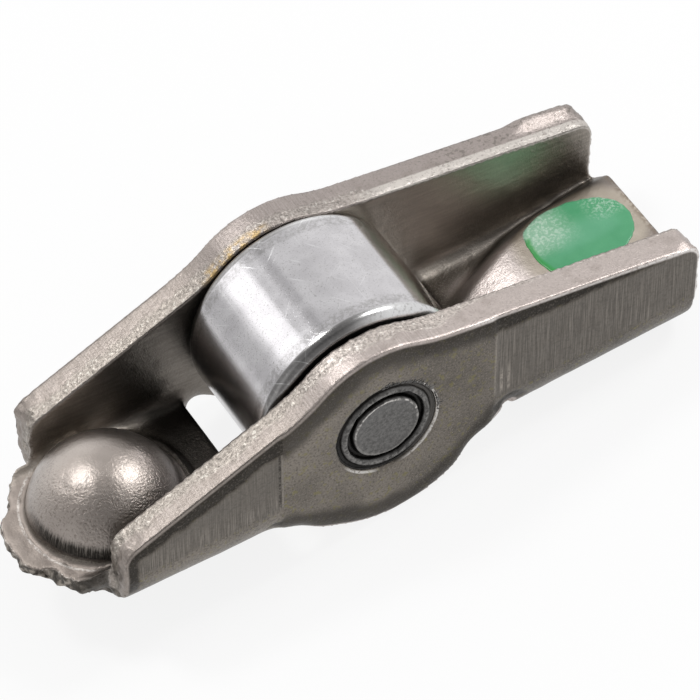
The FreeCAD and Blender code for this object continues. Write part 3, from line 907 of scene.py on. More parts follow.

# %% [markdown]
# The strip that the ironing tool missed is painted near black, as the shade and dark reflection on its rolled
# edge. Round the pin, the punch turned the edge of the cheek's hole up, and the turned edge gets a painted
# highlight on its right and lower left.

# %% Painted shade on the rolled strip, painted highlight on the hole's edge
# Painted shade: the rolled strip's near black stands for shade and dark reflection.
strip_painted_shade = steel.blend(wavy, steel_tone(0.014, 0.1), steel_tone(0.036, 0.1))
strip_painted_shade = steel.over(strip_painted_shade, steel_tone(0.10, 0.1), steel.rise(grain, 0.52, 0.66), 0.6)
on_belly = steel.times(steel.flip(pivot_ironed), steel.flip(valve_ironed))
strip_shade_strength = steel.blend_value(on_belly, 0.94, 0.78)
tone = steel.over(tone, strip_painted_shade, rolled, strip_shade_strength)
from_pin = steel.join(steel.sum("SUBTRACT", x, PIN_X), 0.0, steel.sum("SUBTRACT", z, PIN_Z))
hole_away = steel.node("ShaderNodeVectorMath", {0: from_pin}, operation="LENGTH").outputs["Value"]
# Painted highlight: a bright crescent on the hole's edge, on its right and lower left sides.
hole_edge_highlight = steel.times(steel.band(hole_away, PIN_R + 0.10, 0.10, 0.08), outer_side)
right_edge = steel.rise(x, PIN_X + 0.6, PIN_X + 2.6)
left_edge = steel.times(steel.rise(x, PIN_X - 0.4, PIN_X - 1.6), steel.rise(z, PIN_Z - 2.2, PIN_Z - 3.2))
hole_lit_sides = steel.sum("MAXIMUM", right_edge, left_edge)
hole_edge_highlight = steel.times(hole_edge_highlight, hole_lit_sides, steel.rise(grain, 0.3, 0.5))
tone = steel.over(tone, steel_tone(0.55, 0.03), hole_edge_highlight, 0.9)
print("rolled strip and hole's edge")

# %% [markdown]
# The ridges at the plates' ends catch light as thin lines with a dark line beside them. At the
# valve end three coarse scores run beside the ridge.

# %% Ridges and scores at the plates' ends
SCORE_PITCH = 0.62
on_flat = steel.times(outer_side, not_rolled, steel.rise(above_bend, 0.1, 0.6))
left_dark = steel.times(steel.band(x, SWELL_START - 0.28, 0.05, 0.1), on_flat)
left_light = steel.times(steel.band(x, SWELL_START - 0.08, 0.03, 0.09), on_flat)
right_light = steel.times(steel.band(x, SWELL_END + 0.02, 0.05, 0.1), on_flat)
low_down = steel.times(on_flat, steel.rise(above_bend, 3.4, 2.0))
score_light = steel.band(steel.sum("WRAP", x, SCORE_PITCH, 0.0), SCORE_PITCH / 2 - 0.01, 0.08, 0.08)
past_ridge = steel.rise(x, SWELL_END + 0.1, SWELL_END + 0.2)
near_ridge = steel.rise(x, SWELL_END + 1.8, SWELL_END + 1.0)
scores = steel.times(score_light, past_ridge, near_ridge, low_down)
worn = steel.rise(grain, 0.3, 0.6)
tone = steel.over(tone, steel_tone(0.03), left_dark, worn, 0.8)
tone = steel.over(tone, steel_tone(0.30), left_light, worn, 0.5)
tone = steel.over(tone, steel_tone(0.32), right_light, worn, 0.45)
tone = steel.over(tone, steel_tone(0.32), scores, worn, 0.8)
print("ridges and scores")

# %% [markdown]
# A cut face shows the two stages of shearing: a smooth band with fine lines across, and a broken
# band full of bright and dark grains. Two clouds of different size make the grains, and the
# measure of the broken half that the mesh keeps tells the bands apart.

# %% The two bands of a cut face
cross_lines = steel.streaks(place, 9.0, 0.5, 9.0, 2.0)
line_share = steel.blend_value(steel.rise(x, 22.0, 26.0), steel.rise(cross_lines, 0.3, 0.7), 0.5)
smooth_tone = steel.blend(line_share, (0.40, 0.350, 0.325, 1.0), (0.51, 0.450, 0.425, 1.0))
smooth_tone = steel.over(smooth_tone, (0.34, 0.295, 0.270, 1.0), steel.rise(wavy, 0.5, 0.7), 0.5)
smooth_tone = steel.over(smooth_tone, (0.28, 0.245, 0.225, 1.0), steel.rise(grain, 0.4, 0.7), 0.3)
pits = steel.rise(steel.cloud(place, 6.5, 3.0), 0.60, 0.68)
smooth_tone = steel.over(smooth_tone, steel_tone(0.18), pits, 0.5)
chips = steel.cloud(place, 4.4, 4.0, 0.65)
crumbs = steel.cloud(place, 3.0, 2.0, 0.5)
chip_share = steel.rise(chips, 0.35, 0.65)
broken_tone = steel.blend(chip_share, (0.315, 0.282, 0.258, 1.0), (0.570, 0.512, 0.472, 1.0))
broken_tone = steel.over(broken_tone, steel_tone(0.75, 0.05), steel.rise(crumbs, 0.60, 0.67), 0.7)
broken_tone = steel.over(broken_tone, steel_tone(0.11), steel.rise(crumbs, 0.36, 0.30), 0.6)
cut_tone = steel.blend(broken_half, smooth_tone, broken_tone)
print("two bands of a cut face")

# %% [markdown]
# The cut faces are painted darker at the pivot end and on the far side, as shade. The far edge keeps a bright
# inner third at the valve end with rubbed marks beside it, and one stretch over the roller has a golden
# oil stain. The outermost line of the edge at the valve end carries a painted highlight.

# %% Painted shade and highlight, and marks, on the cut faces
PIVOT_EDGE_SHADE = 0.68
FAR_EDGE_SHADE = 0.74
STAIN_X = 14.6
GOLDEN = (0.50, 0.34, 0.13, 1.0)
far_side = steel.rise(y, -1.0, 1.0)
valve_part = steel.rise(x, 24.0, 28.0)
# Painted shade: the cut faces are darker at the pivot end and on the far side.
pivot_edge_shading = steel.blend_value(steel.rise(x, 15.0, 10.0), 1.0, PIVOT_EDGE_SHADE)
far_edge_shading = steel.blend_value(steel.times(far_side, steel.rise(x, 8.0, 14.0)), 1.0, FAR_EDGE_SHADE)
edge_shading = steel.times(pivot_edge_shading, far_edge_shading)
brown = steel.blend_value(steel.rise(x, 15.0, 10.0), 1.0, 0.97)
cut_tone = steel.vector_sum("MULTIPLY", cut_tone, steel.join(edge_shading, edge_shading, steel.times(edge_shading, brown)))
inner_third = steel.times(far_side, valve_part, steel.rise(off_middle, INNER_Y + 0.95, INNER_Y + 0.8))
inner_third = steel.times(inner_third, steel.rise(grain, 0.25, 0.5))
cut_tone = steel.over(cut_tone, steel_tone(0.58, 0.05), inner_third, 0.8)
rubbed = steel.times(far_side, steel.rise(x, 31.0, 33.0), steel.rise(crumbs, 0.52, 0.62))
rubbed = steel.times(rubbed, steel.flip(inner_third), steel.rise(wavy, 0.35, 0.5))
cut_tone = steel.over(cut_tone, steel_tone(0.14), rubbed, 0.6)
inner_half = steel.rise(off_middle, INNER_Y + 1.1, INNER_Y + 0.4)
stain_place = steel.times(far_side, steel.band(x, STAIN_X, 1.9, 1.2), inner_half)
stain = steel.times(stain_place, steel.rise(steel.cloud(place, 1.4, 3.0), 0.35, 0.6))
cut_tone = steel.over(cut_tone, GOLDEN, stain, 0.75)
# Painted highlight: a bright line along the outermost edge at the valve end.
edge_highlight_line = steel.times(steel.rise(off_middle, OUTER_Y - 0.24, OUTER_Y - 0.12), cut, valve_part)
edge_highlight_line = steel.times(edge_highlight_line, steel.rise(grain, 0.3, 0.5))
cut_tone = steel.over(cut_tone, steel_tone(0.85, 0.02), edge_highlight_line, 0.7)
tone = steel.over(tone, cut_tone, cut)
print("cut faces")

# %% [markdown]
# The dome is granular like orange peel, because the sheet stretched there. At its foot on the
# lip's side the punch left a dark band scratched up and down. Its scratches are noise drawn on the
# angle round the dome, so that they stand upright all the way round.

# %% The dome
azimuth = steel.sum("ARCTAN2", y, steel.sum("MULTIPLY", x, -1.0))
round_foot = steel.join(steel.sum("MULTIPLY", azimuth, DOME_R), 0.0, z)
foot_lines = steel.streaks(round_foot, 15.0, 1.0, 0.8, 3.0)
peel = steel.cloud(place, 5.6, 3.0)
dome_cloud = steel.cloud(place, 0.7, 3.0)
dome_tone = steel.blend(dome_cloud, (0.285, 0.246, 0.220, 1.0), (0.375, 0.332, 0.302, 1.0))
peel_dark = steel.times(steel.rise(peel, 0.46, 0.34), steel.rise(z, 5.8, 4.6))
dome_tone = steel.over(dome_tone, (0.13, 0.105, 0.088, 1.0), peel_dark, 0.6)
tone = steel.over(tone, dome_tone, dome_zone)
near_lip = steel.times(steel.rise(x, 2.4, -0.6), steel.rise(y, 2.2, -1.4))
foot_height = steel.sum("MULTIPLY_ADD", foot_lines, 0.9, z)
foot_band = steel.times(near_ball, near_lip, steel.rise(foot_height, 2.95, 2.25))
foot_tone = steel.blend(steel.rise(foot_lines, 0.48, 0.64), steel_tone(0.026), steel_tone(0.105))
tone = steel.over(tone, foot_tone, foot_band)
print("dome")

# %% [markdown]
# The lip's top is pale, with a thin bright burr round the dome's foot. Its torn face mixes dark
# hollows with bright grains, and the crest where the tear begins shines.

# %% The torn lip
lip_cloud = steel.cloud(place, 0.8, 4.0)
lip_tone = steel.blend(lip_cloud, (0.25, 0.215, 0.190, 1.0), (0.36, 0.315, 0.285, 1.0))
tone = steel.over(tone, lip_tone, lip_zone)
burr_ring = steel.times(steel.band(foot_away, BURR_R, 0.05, 0.08), lip_zone, steel.rise(z, 0.2, 0.5))
burr_ring = steel.times(burr_ring, steel.rise(grain, 0.35, 0.55))
tone = steel.over(tone, steel_tone(0.62, 0.04), burr_ring, 0.6)
torn_grains = steel.rise(steel.cloud(place, 1.6, 4.0), 0.4, 0.6)
torn_tone = steel.blend(torn_grains, steel_tone(0.08), steel_tone(0.34))
tone = steel.over(tone, torn_tone, torn_face)
crest_line = steel.times(steel.band(torn_face, 0.30, 0.12, 0.12), steel.rise(grain, 0.42, 0.55))
tone = steel.over(tone, steel_tone(0.66, 0.05), crest_line, 0.55)
print("torn lip")

# %% [markdown]
# Inside the channel the walls are streaked along their length, as the sheet slid down
# over the bending tool, and their tones are painted shade and light: dark inside the channel, the far wall paler
# beside the dome and brightest beside the roller and the ramp. The web beside the window is painted darkest, as
# shade.

# %% Painted shade and light on the channel's walls
inside = steel.rise(off_middle, INNER_Y + 0.3, INNER_Y - 0.1)
channel_walls = steel.times(steel.rise(off_middle, INNER_Y - 1.3, INNER_Y - 0.3), steel.flip(cut))
channel_walls = steel.times(channel_walls, steel.rise(off_middle, INNER_Y + 0.5, INNER_Y + 0.2))
long_streaks = steel.streaks(place, 0.5, 1.0, 4.0, 4.0)
on_valve_wall = steel.times(steel.rise(x, 18.0, 24.0), far_side)
# Painted light and shade: the walls' tones change with place, darkest on the near wall, paler on the far wall by
# the dome, brightest by the roller and ramp.
wall_lit_streaks = steel.blend(far_side, steel_tone(0.07), steel_tone(0.20))
wall_shaded_streaks = steel.blend(far_side, steel_tone(0.045), steel_tone(0.135))
by_dome = steel.times(far_side, steel.rise(x, 5.0, 1.0))
wall_lit_streaks = steel.over(wall_lit_streaks, steel_tone(0.40), by_dome)
wall_shaded_streaks = steel.over(wall_shaded_streaks, steel_tone(0.28), by_dome)
wall_lit_streaks = steel.over(wall_lit_streaks, steel_tone(0.60), on_valve_wall)
wall_shaded_streaks = steel.over(wall_shaded_streaks, steel_tone(0.48), on_valve_wall)
wall_end = steel.times(far_side, steel.rise(x, 37.5, 42.5))
wall_lit_streaks = steel.over(wall_lit_streaks, steel_tone(0.34), wall_end)
wall_shaded_streaks = steel.over(wall_shaded_streaks, steel_tone(0.22), wall_end)
wall_painted_light_and_shade = steel.blend(steel.rise(long_streaks, 0.25, 0.8), wall_shaded_streaks, wall_lit_streaks)
wall_painted_light_and_shade = steel.over(wall_painted_light_and_shade, wall_shaded_streaks, steel.rise(grain, 0.42, 0.62), 0.3)
tone = steel.over(tone, wall_painted_light_and_shade, channel_walls, 0.85)
# Painted shade: the web beside the window is made nearly black.
window_web_shade = steel.times(inside, steel.rise(x, 5.0, 7.0), steel.rise(x, 12.0, 10.0), steel.flip(dome_zone))
window_web_shade = steel.times(window_web_shade, steel.rise(nz, 0.5, 0.8))
tone = steel.over(tone, steel_tone(0.03), window_web_shade, 0.9)
print("channel walls")

# %% [markdown]
# The ramp is painted bright as highlight, the plateau darker, and the trough along the far side dark as painted
# shade. The dried margin round the paint is pale. The plateau's end edge, sheared last, has brownish crumbs.

# %% Painted highlight and shade on ramp and plateau, and the margin
PLATEAU_END_X = 45.5
on_pad = steel.times(inside, steel.rise(x, 29.8, 33.0), steel.rise(nz, 0.3, 0.7))
# Painted highlight on the ramp, a darker plateau, and painted shade in the far trough.
pad_highlight_and_shade = steel.blend(steel.cloud(place, 0.9, 3.0), (0.60, 0.53, 0.50, 1.0), (0.78, 0.70, 0.67, 1.0))
pad_highlight_and_shade = steel.over(pad_highlight_and_shade, (0.27, 0.235, 0.215, 1.0), steel.rise(x, 35.5, 38.0))
pad_highlight_and_shade = steel.over(pad_highlight_and_shade, steel_tone(0.14), steel.rise(y, 2.8, 4.6))
tone = steel.over(tone, pad_highlight_and_shade, on_pad, 0.9)
dried_tone = steel.blend(wavy, (0.38, 0.330, 0.272, 1.0), (0.56, 0.500, 0.420, 1.0))
tone = steel.over(tone, dried_tone, dried, 0.85)
end_edge = steel.times(on_pad, steel.rise(x, PLATEAU_END_X - 0.6, PLATEAU_END_X))
tone = steel.over(tone, (0.17, 0.130, 0.095, 1.0), end_edge, steel.rise(crumbs, 0.42, 0.56), 0.75)
print("ramp, plateau and margin")

# %% [markdown]
# Colour alone would look painted on. The same clouds and lines also set how rough each zone is
# and tilt its normals a little, so that every mark catches the light as well. The dome carries a
# thin film of oil, which gives its two bright spots a soft, pale ring.

# %% Roughness and relief of the steel
rough = steel.blend_value(grain, 0.32, 0.44)
rough = steel.blend_value(cut, rough, 0.42)
rough = steel.blend_value(dome_zone, rough, 0.35)
rough = steel.blend_value(lip_zone, rough, 0.52)
rough = steel.blend_value(on_pad, rough, 0.42)
low_dome = steel.times(dome_zone, steel.rise(z, 5.8, 4.2))
dings = steel.cloud(place, 1.1, 3.0)
relief = steel.bump(dings, 0.5, 0.10)
relief = steel.bump(grain, 0.6, 0.035, relief)
relief = steel.bump(sand, 0.5, 0.018, relief)
both_ends = steel.sum("ADD", pivot_lines, valve_lines)
relief = steel.bump(steel.times(up_lines, both_ends), 0.35, 0.014, relief)
broken_or_torn = steel.sum("MAXIMUM", broken_half, torn_face)
relief = steel.bump(steel.times(chips, broken_or_torn), 0.5, 0.06, relief)
relief = steel.bump(steel.times(crumbs, cut, broken_half), 0.5, 0.08, relief)
relief = steel.bump(steel.times(cross_lines, cut), 0.3, 0.012, relief)
relief = steel.bump(steel.times(peel, low_dome), 1.0, 0.055, relief)
relief = steel.bump(steel.times(foot_lines, foot_band), 0.7, 0.05, relief)
oiled = steel.times(dome_zone, steel.flip(foot_band), 0.75)
oil_film = {"Coat Weight": oiled, "Coat Roughness": 0.32}
pressed_steel = steel.surface(tone, rough, relief, **oil_film)
print("pressed steel:", len(steel.tree.nodes), "nodes")

# %% [markdown]
# A finished piece gets its material and smooth shading, is hung on the empty of the body it
# rides on, and the CAD nodes it stands for are hidden.

# %% The arm is finished
def smooth_piece(name, mesh, body, slot_name, material, *nodes):
    """Makes a finished piece of a mesh, hangs it on its body's empty and hides the CAD nodes it stands for."""
    mesh.materials.clear()
    mesh.materials.append(material)
    for polygon in mesh.polygons:
        polygon.use_smooth = True
    piece = link(bpy.data.objects.new(name, mesh))
    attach(piece, body)
    if nodes:
        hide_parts(*nodes)
    print(name, "has", len(mesh.polygons), "faces")
    return piece


smooth_piece("pressed_arm", arm_mesh, "arm", "pressed_steel", pressed_steel, "rocker_arm")

# %% [markdown]
# Fresh paint is green and glossy. Dust and dried skin leave whitish flecks at its upper corners, and the upper
# left is paled all over as a painted reflection.
# Where the film ran thick along the ramp's side the green is deeper.

# %% Paint
WHITISH = (0.55, 0.68, 0.58, 1.0)
paint = Finish("marking_paint")
paint_place = paint.place()
u = paint.attribute("web_u")
v = paint.attribute("web_v")
share = paint.attribute("out_share")
paint_cloud = paint.cloud(paint_place, 0.9, 3.0)
green = paint.blend(paint_cloud, (0.050, 0.275, 0.122, 1.0), (0.090, 0.345, 0.172, 1.0))
fleck_noise = paint.cloud(paint_place, 4.5, 3.0, 0.7)
upper_left_sheen_and_flecks = paint.times(paint.rise(u, 12.4, 9.4), paint.rise(v, -0.6, 1.6))
upper_right = paint.times(paint.rise(u, 12.6, 14.2), paint.rise(v, 0.2, 1.6))
patchy = paint.sum("MAXIMUM", upper_left_sheen_and_flecks, paint.sum("MULTIPLY", upper_right, 0.8))
flecks = paint.times(paint.rise(fleck_noise, 0.46, 0.60), patchy)
mint = paint.times(paint.band(v, 0.4, 0.5, 1.1), paint.rise(u, 8.4, 10.2), paint.rise(u, 15.4, 13.8))
green = paint.over(green, (0.22, 0.50, 0.36, 1.0), mint, 0.2)
# Painted reflection: the upper left of the dab is paled evenly; the flecks below are real dust and dried skin.
green = paint.over(green, WHITISH, upper_left_sheen_and_flecks, 0.36)
green = paint.over(green, WHITISH, flecks, 0.6)
thick_edge = paint.times(paint.rise(share, 0.87, 0.95), paint.rise(u, 10.6, 8.6), paint.rise(v, 2.6, 1.8))
green = paint.over(green, (0.02, 0.28, 0.045, 1.0), thick_edge, 0.85)
paint_rough = paint.blend_value(flecks, 0.28, 0.6)
paint_relief = paint.bump(paint_cloud, 0.35, 0.06)
paint_relief = paint.bump(fleck_noise, 0.35, 0.03, paint_relief)
marking_paint = paint.surface(green, paint_rough, paint_relief, metallic=0.0)
smooth_piece("paint_dab", paint_mesh, "arm", "green_paint", marking_paint, "paint_mark")

# %% [markdown]
# ## Turned pieces
# Roller, pin and needles are turned parts. Each is a half section turned about the pin's axis,
# as on a lathe, with enough steps that no facet shows. Every point of the section becomes a ring
# of points, or a single one on the axis, and neighbouring rings are joined by faces. The faces
# are written in an order that makes them look outwards, and it is the same in each run.

# %% Turning on a lathe
def lathe(name, profile, steps):
    """A closed piece turned about the Y axis, from points given as radius and Y in mm."""
    turns = [2 * math.pi * step / steps for step in range(steps)]
    points = []
    rings = []
    for radius, y in profile:
        count = steps if radius > 0 else 1
        rings.append([len(points) + step % count for step in range(steps)])
        points += [(radius * math.cos(turn), y, radius * math.sin(turn)) for turn in turns[:count]]
    if profile[0][0] > 0:
        rings.append(rings[0])
    faces = []
    for ring, next_ring in zip(rings, rings[1:]):
        for step in range(steps):
            after = (step + 1) % steps
            corners = (ring[step], ring[after], next_ring[after], next_ring[step])
            faces.append(tuple(dict.fromkeys(corners)))
    mesh = bpy.data.meshes.new(name)
    mesh.from_pydata(points, [], faces)
    return mesh


def set_on_pin(mesh):
    """Puts a mesh made about the origin, in millimetres, on the pin's axis."""
    move_points(mesh, on_bench(points_of(mesh) + np.array([PIN_X, 0.0, PIN_Z])))
    return mesh


def arc_points(radius, y, size, start, end, steps):
    """Points of a small round, as radius and Y."""
    turns = [math.radians(start + (end - start) * i / steps) for i in range(steps + 1)]
    return [(radius + size * math.cos(turn), y + size * math.sin(turn)) for turn in turns]


print("lathe ready")

# %% [markdown]
# The roller is a hardened ring. Its tread is ground, its rims are rounded so that they don't
# cut into the cam, and its faces are dished a little towards the bore.

# %% The roller ring
RIM_ROUND = 0.9
BORE_CHAMFER = 0.3
FACE_DISH = 0.05
half_profile = [(ROLLER_BORE_R, ROLLER_HALF - BORE_CHAMFER - FACE_DISH)]
half_profile += [(ROLLER_BORE_R + BORE_CHAMFER, ROLLER_HALF - FACE_DISH)]
half_profile += [(ROLLER_R - RIM_ROUND - 0.5, ROLLER_HALF - FACE_DISH)]
half_profile += [(ROLLER_R - RIM_ROUND - 0.3, ROLLER_HALF)]
half_profile += arc_points(ROLLER_R - RIM_ROUND, ROLLER_HALF - RIM_ROUND, RIM_ROUND, 90, 0, 10)
half_profile += [(ROLLER_R, ROLLER_HALF * step) for step in (0.8, 0.6, 0.4, 0.2)]
roller_profile = half_profile + [(radius, -y) for radius, y in reversed(half_profile)]
roller_mesh = set_on_pin(lathe("roller_ring", roller_profile, 288))
print("roller radius", ROLLER_R, "width", 2 * ROLLER_HALF)

# %% [markdown]
# Ground steel is the brightest surface here, and nearly a mirror. Its life shows in smudges, a
# speckled haze, hair scratches in two directions and thin lines along the axis. The noise for the
# lines is drawn on the unrolled tread, so that they don't bend over the roller's round.

# %% Marks on the ground steel
ground = Finish("ground_steel")
place = ground.place()
about_pin = ground.vector_sum("SUBTRACT", place, (PIN_X, 0.0, PIN_Z))
rx, ry, rz = ground.split(about_pin)
arc_length = ground.sum("MULTIPLY", ground.sum("ARCTAN2", rz, rx), ROLLER_R)
tread_place = ground.join(arc_length, ry, 0.0)
smudge = ground.cloud(place, 0.45, 5.0, 0.6)
haze = ground.cloud(place, 3.6, 4.0, 0.65)
dust = ground.cloud(place, 9.0, 2.0)
axis_lines = ground.streaks(tread_place, 4.5, 0.06, 1.0, 2.0)
turned_place = ground.node("ShaderNodeVectorRotate", {"Vector": tread_place, "Angle": 0.7},
                           rotation_type="Z_AXIS").outputs[0]
hair = ground.streaks(turned_place, 5.0, 0.22, 1.0, 1.0)
other_hair = ground.streaks(turned_place, 0.25, 5.5, 1.0, 1.0)
hairs = ground.sum("MAXIMUM", ground.rise(hair, 0.66, 0.74), ground.rise(other_hair, 0.68, 0.76))
print("marks on the ground steel")

# %% [markdown]
# The marks are laid over a pale, cool tone. The rims are polished by the turning chuck and
# painted dark towards the pivot end as shade; the tread's low side there is a little rougher.

# %% Ground steel
smudged = ground.rise(smudge, 0.35, 0.65)
tone = ground.blend(smudged, (0.575, 0.560, 0.575, 1.0), (0.665, 0.650, 0.665, 1.0))
tone = ground.over(tone, steel_tone(0.38, 0.02), ground.rise(haze, 0.5, 0.72), 0.3)
tone = ground.over(tone, steel_tone(0.28, 0.02), ground.rise(dust, 0.58, 0.70), 0.6)
tone = ground.over(tone, steel_tone(0.78, 0.0), ground.rise(axis_lines, 0.62, 0.72), 0.3)
across_face = ground.sum("ABSOLUTE", ry)
near_rim = ground.band(across_face, ROLLER_HALF - 1.35, 0.25, 0.35)
tone = ground.over(tone, steel_tone(0.30, 0.02), near_rim, ground.rise(haze, 0.35, 0.6), 0.5)
polished_rim = ground.rise(across_face, ROLLER_HALF - 0.95, ROLLER_HALF - 0.8)
# Painted shade: the rims are darker towards the pivot end, with real haze laid over.
rim_shade_and_haze = ground.blend(ground.rise(rx, -2.0, 2.6), steel_tone(0.17, 0.02), steel_tone(0.66, 0.0))
rim_shade_and_haze = ground.over(rim_shade_and_haze, steel_tone(0.30, 0.02), ground.rise(haze, 0.5, 0.62), 0.5)
tone = ground.over(tone, rim_shade_and_haze, polished_rim, 0.85)
tone = ground.over(tone, steel_tone(0.8, 0.0), hairs, 0.35)
rough = ground.blend_value(ground.rise(smudge, 0.35, 0.7), 0.12, 0.145)
rough = ground.blend_value(ground.times(hairs, 0.5), rough, 0.4)
rough = ground.blend_value(polished_rim, rough, 0.24)
low_side = ground.rise(rx, -6.2, -7.2)
rough = ground.blend_value(low_side, rough, 0.22)
relief = ground.bump(haze, 0.30, 0.006)
relief = ground.bump(dust, 0.40, 0.006, relief)
relief = ground.bump(axis_lines, 0.15, 0.008, relief)
ground_steel = ground.surface(tone, rough, relief)
smooth_piece("roller_ring", roller_mesh, "roller", "roller_steel", ground_steel, "roller")

# %% [markdown]
# The pin's ends are struck with a ring punch, which spreads the pin into the cheek's hole. That
# leaves a flat disc with a raised lip, a groove, a ridge and an outer trough. Each ring is a few
# points, given as a radius and how deep the point lies below the pin's end.

# %% The staked pin
DISC_SINK = 0.10
GROOVE_SINK = 0.55
TROUGH_SINK = 0.36
RADII_AND_SINKS = {
    "disc": [(0.0, DISC_SINK), (1.3, DISC_SINK), (2.42, DISC_SINK)],
    "lip": [(2.52, 0.04), (2.60, 0.0), (2.68, 0.04)],
    "groove": [(2.77, 0.8 * GROOVE_SINK), (2.83, GROOVE_SINK),
               (3.08, GROOVE_SINK), (3.16, 0.7 * GROOVE_SINK)],
    "ridge": [(3.26, 0.07), (3.36, 0.02), (3.60, 0.05)],
    "trough": [(3.72, 0.8 * TROUGH_SINK), (3.79, TROUGH_SINK),
               (3.98, TROUGH_SINK), (4.06, 0.8 * TROUGH_SINK)],
    "edge": [(PIN_R, 0.2)],
}
end_profile = [(radius, PIN_HALF - sink) for ring in RADII_AND_SINKS.values() for radius, sink in ring]
pin_profile = end_profile + [(radius, -y) for radius, y in reversed(end_profile)]
pin_mesh = lathe("staked_pin", pin_profile, 224)
print("rings of the punch:", list(RADII_AND_SINKS))

# %% [markdown]
# The lathe's rings are too true. Slow noise moves the points of the rings in and out and a little
# down, and fades out on the flat disc, at the pin's edge and inside the cheek.

# %% Make the struck rings uneven
PUNCH_WOBBLE = 0.05
PUNCH_SAG = 0.06
pin_points = points_of(pin_mesh)
wobble = cloud_at(pin_points, 0.9, 3, 3.0)
pin_radius = np.hypot(pin_points[:, 0], pin_points[:, 2])
in_rings = smooth_step(pin_radius, 2.2, 2.7) * smooth_step(pin_radius, 4.1, 3.9)
at_end = smooth_step(abs(pin_points[:, 1]), PIN_HALF - 1.0, PIN_HALF - 0.7)
growth = 1 + PUNCH_WOBBLE * wobble * in_rings * at_end / np.maximum(pin_radius, 1.0)
pin_points[:, 0] *= growth
pin_points[:, 2] *= growth
pin_points[:, 1] -= np.sign(pin_points[:, 1]) * abs(wobble) * PUNCH_SAG * in_rings * at_end
move_points(pin_mesh, pin_points)
set_on_pin(pin_mesh)
print("pin ends at", round(PIN_HALF, 2), "mm")

# %% [markdown]
# The struck ends are dark and speckled. Light doesn't reach the groove and the trough, and the
# thin crests between them shine where they face the tent. The recipe tells them apart by the
# distance from the axis and by the depth below the pin's end.

# %% Staked steel
struck = Finish("staked_steel")
place = struck.place()
about_pin = struck.vector_sum("SUBTRACT", place, (PIN_X, 0.0, PIN_Z))
px, py, pz = struck.split(about_pin)
off_axis = struck.sum("SQRT", struck.sum("ADD", struck.times(px, px), struck.times(pz, pz)))
end_depth = struck.sum("SUBTRACT", PIN_HALF, struck.sum("ABSOLUTE", py))
speckle = struck.cloud(place, 3.2, 4.0, 0.65)
fine_speckle = struck.cloud(place, 9.0, 2.0)
tone = struck.blend(struck.rise(speckle, 0.35, 0.65), steel_tone(0.085, 0.02), steel_tone(0.15, 0.02))
tone = struck.over(tone, steel_tone(0.3, 0.03), struck.rise(fine_speckle, 0.6, 0.72), 0.5)
deep = struck.times(struck.rise(end_depth, 0.12, 0.3), struck.rise(off_axis, 2.5, 2.65))
trough_tone = struck.blend(struck.rise(px, 0.5, 3.0), steel_tone(0.010, 0.05), steel_tone(0.07, 0.05))
deep_tone = struck.blend(struck.rise(off_axis, 3.3, 3.5), steel_tone(0.008, 0.05), trough_tone)
tone = struck.over(tone, deep_tone, deep, 0.93)
crests = struck.times(struck.rise(end_depth, 0.09, 0.02), struck.rise(off_axis, 2.40, 2.50))
on_ridge = struck.rise(off_axis, 2.8, 2.95)
crest_dark = struck.blend(on_ridge, steel_tone(0.16, 0.03), steel_tone(0.05, 0.03))
lip_light = struck.blend(struck.rise(pz, -0.8, 1.2), steel_tone(0.24, 0.03), steel_tone(0.75, 0.03))
crest_light = struck.blend(on_ridge, lip_light, steel_tone(0.22, 0.03))
crest_tone = struck.blend(struck.rise(speckle, 0.4, 0.6), crest_dark, crest_light)
tone = struck.over(tone, crest_tone, crests, 0.8)
relief = struck.bump(speckle, 0.5, 0.06)
relief = struck.bump(fine_speckle, 0.35, 0.02, relief)
staked_steel = struck.surface(tone, struck.blend_value(speckle, 0.28, 0.45), relief)
smooth_piece("staked_pin", pin_mesh, "arm", "pin_steel", staked_steel, "roller_pin")

# %% [markdown]
# ## Geometry Nodes for what repeats
# The needles stand in a ring between pin and roller, and hair-fine burrs stand round the struck
# pin. Both are one small shape repeated by a rule, which is what Geometry Nodes are for: the
# tree has named inputs, and its result is turned into a plain mesh.

# %% Helpers for geometry trees
def geometry_recipe(name, numbers):
    """A geometry tree with named number inputs and a material input."""
    tree = bpy.data.node_groups.new(name, "GeometryNodeTree")
    recipe = Recipe(tree)
    for label, value in numbers.items():
        kind = "NodeSocketInt" if isinstance(value, int) else "NodeSocketFloat"
        tree.interface.new_socket(name=label, in_out="INPUT", socket_type=kind)
    tree.interface.new_socket(name="Shape", in_out="INPUT", socket_type="NodeSocketObject")
    tree.interface.new_socket(name="Material", in_out="INPUT", socket_type="NodeSocketMaterial")
    tree.interface.new_socket(name="Geometry", in_out="OUTPUT", socket_type="NodeSocketGeometry")
    recipe.given = recipe.node("NodeGroupInput").outputs
    return recipe


def end_geometry(recipe, instances):
    """Realizes the instances, sets the material and ends the tree."""
    real = recipe.node("GeometryNodeRealizeInstances", {"Geometry": instances}).outputs[0]
    inputs = {"Geometry": real, "Material": recipe.given["Material"]}
    dressed = recipe.node("GeometryNodeSetMaterial", inputs).outputs[0]
    recipe.node("NodeGroupOutput", {"Geometry": dressed})
    return recipe.tree


def grow(name, tree, values):
    """Runs a geometry tree with its inputs set and returns a plain mesh."""
    host = link(bpy.data.objects.new(name, bpy.data.meshes.new(name)))
    modifier = host.modifiers.new(name, "NODES")
    modifier.node_group = tree
    for item in tree.interface.items_tree:
        if item.in_out == "INPUT":
            modifier[item.identifier] = values[item.name]
    return as_plain_mesh(host, name)


print("geometry helpers ready")

# %% [markdown]
# Needles are ground and bright, with rounded ends. One needle is turned on the lathe. Its finish
# has faint rings, which grinding between two wheels leaves.

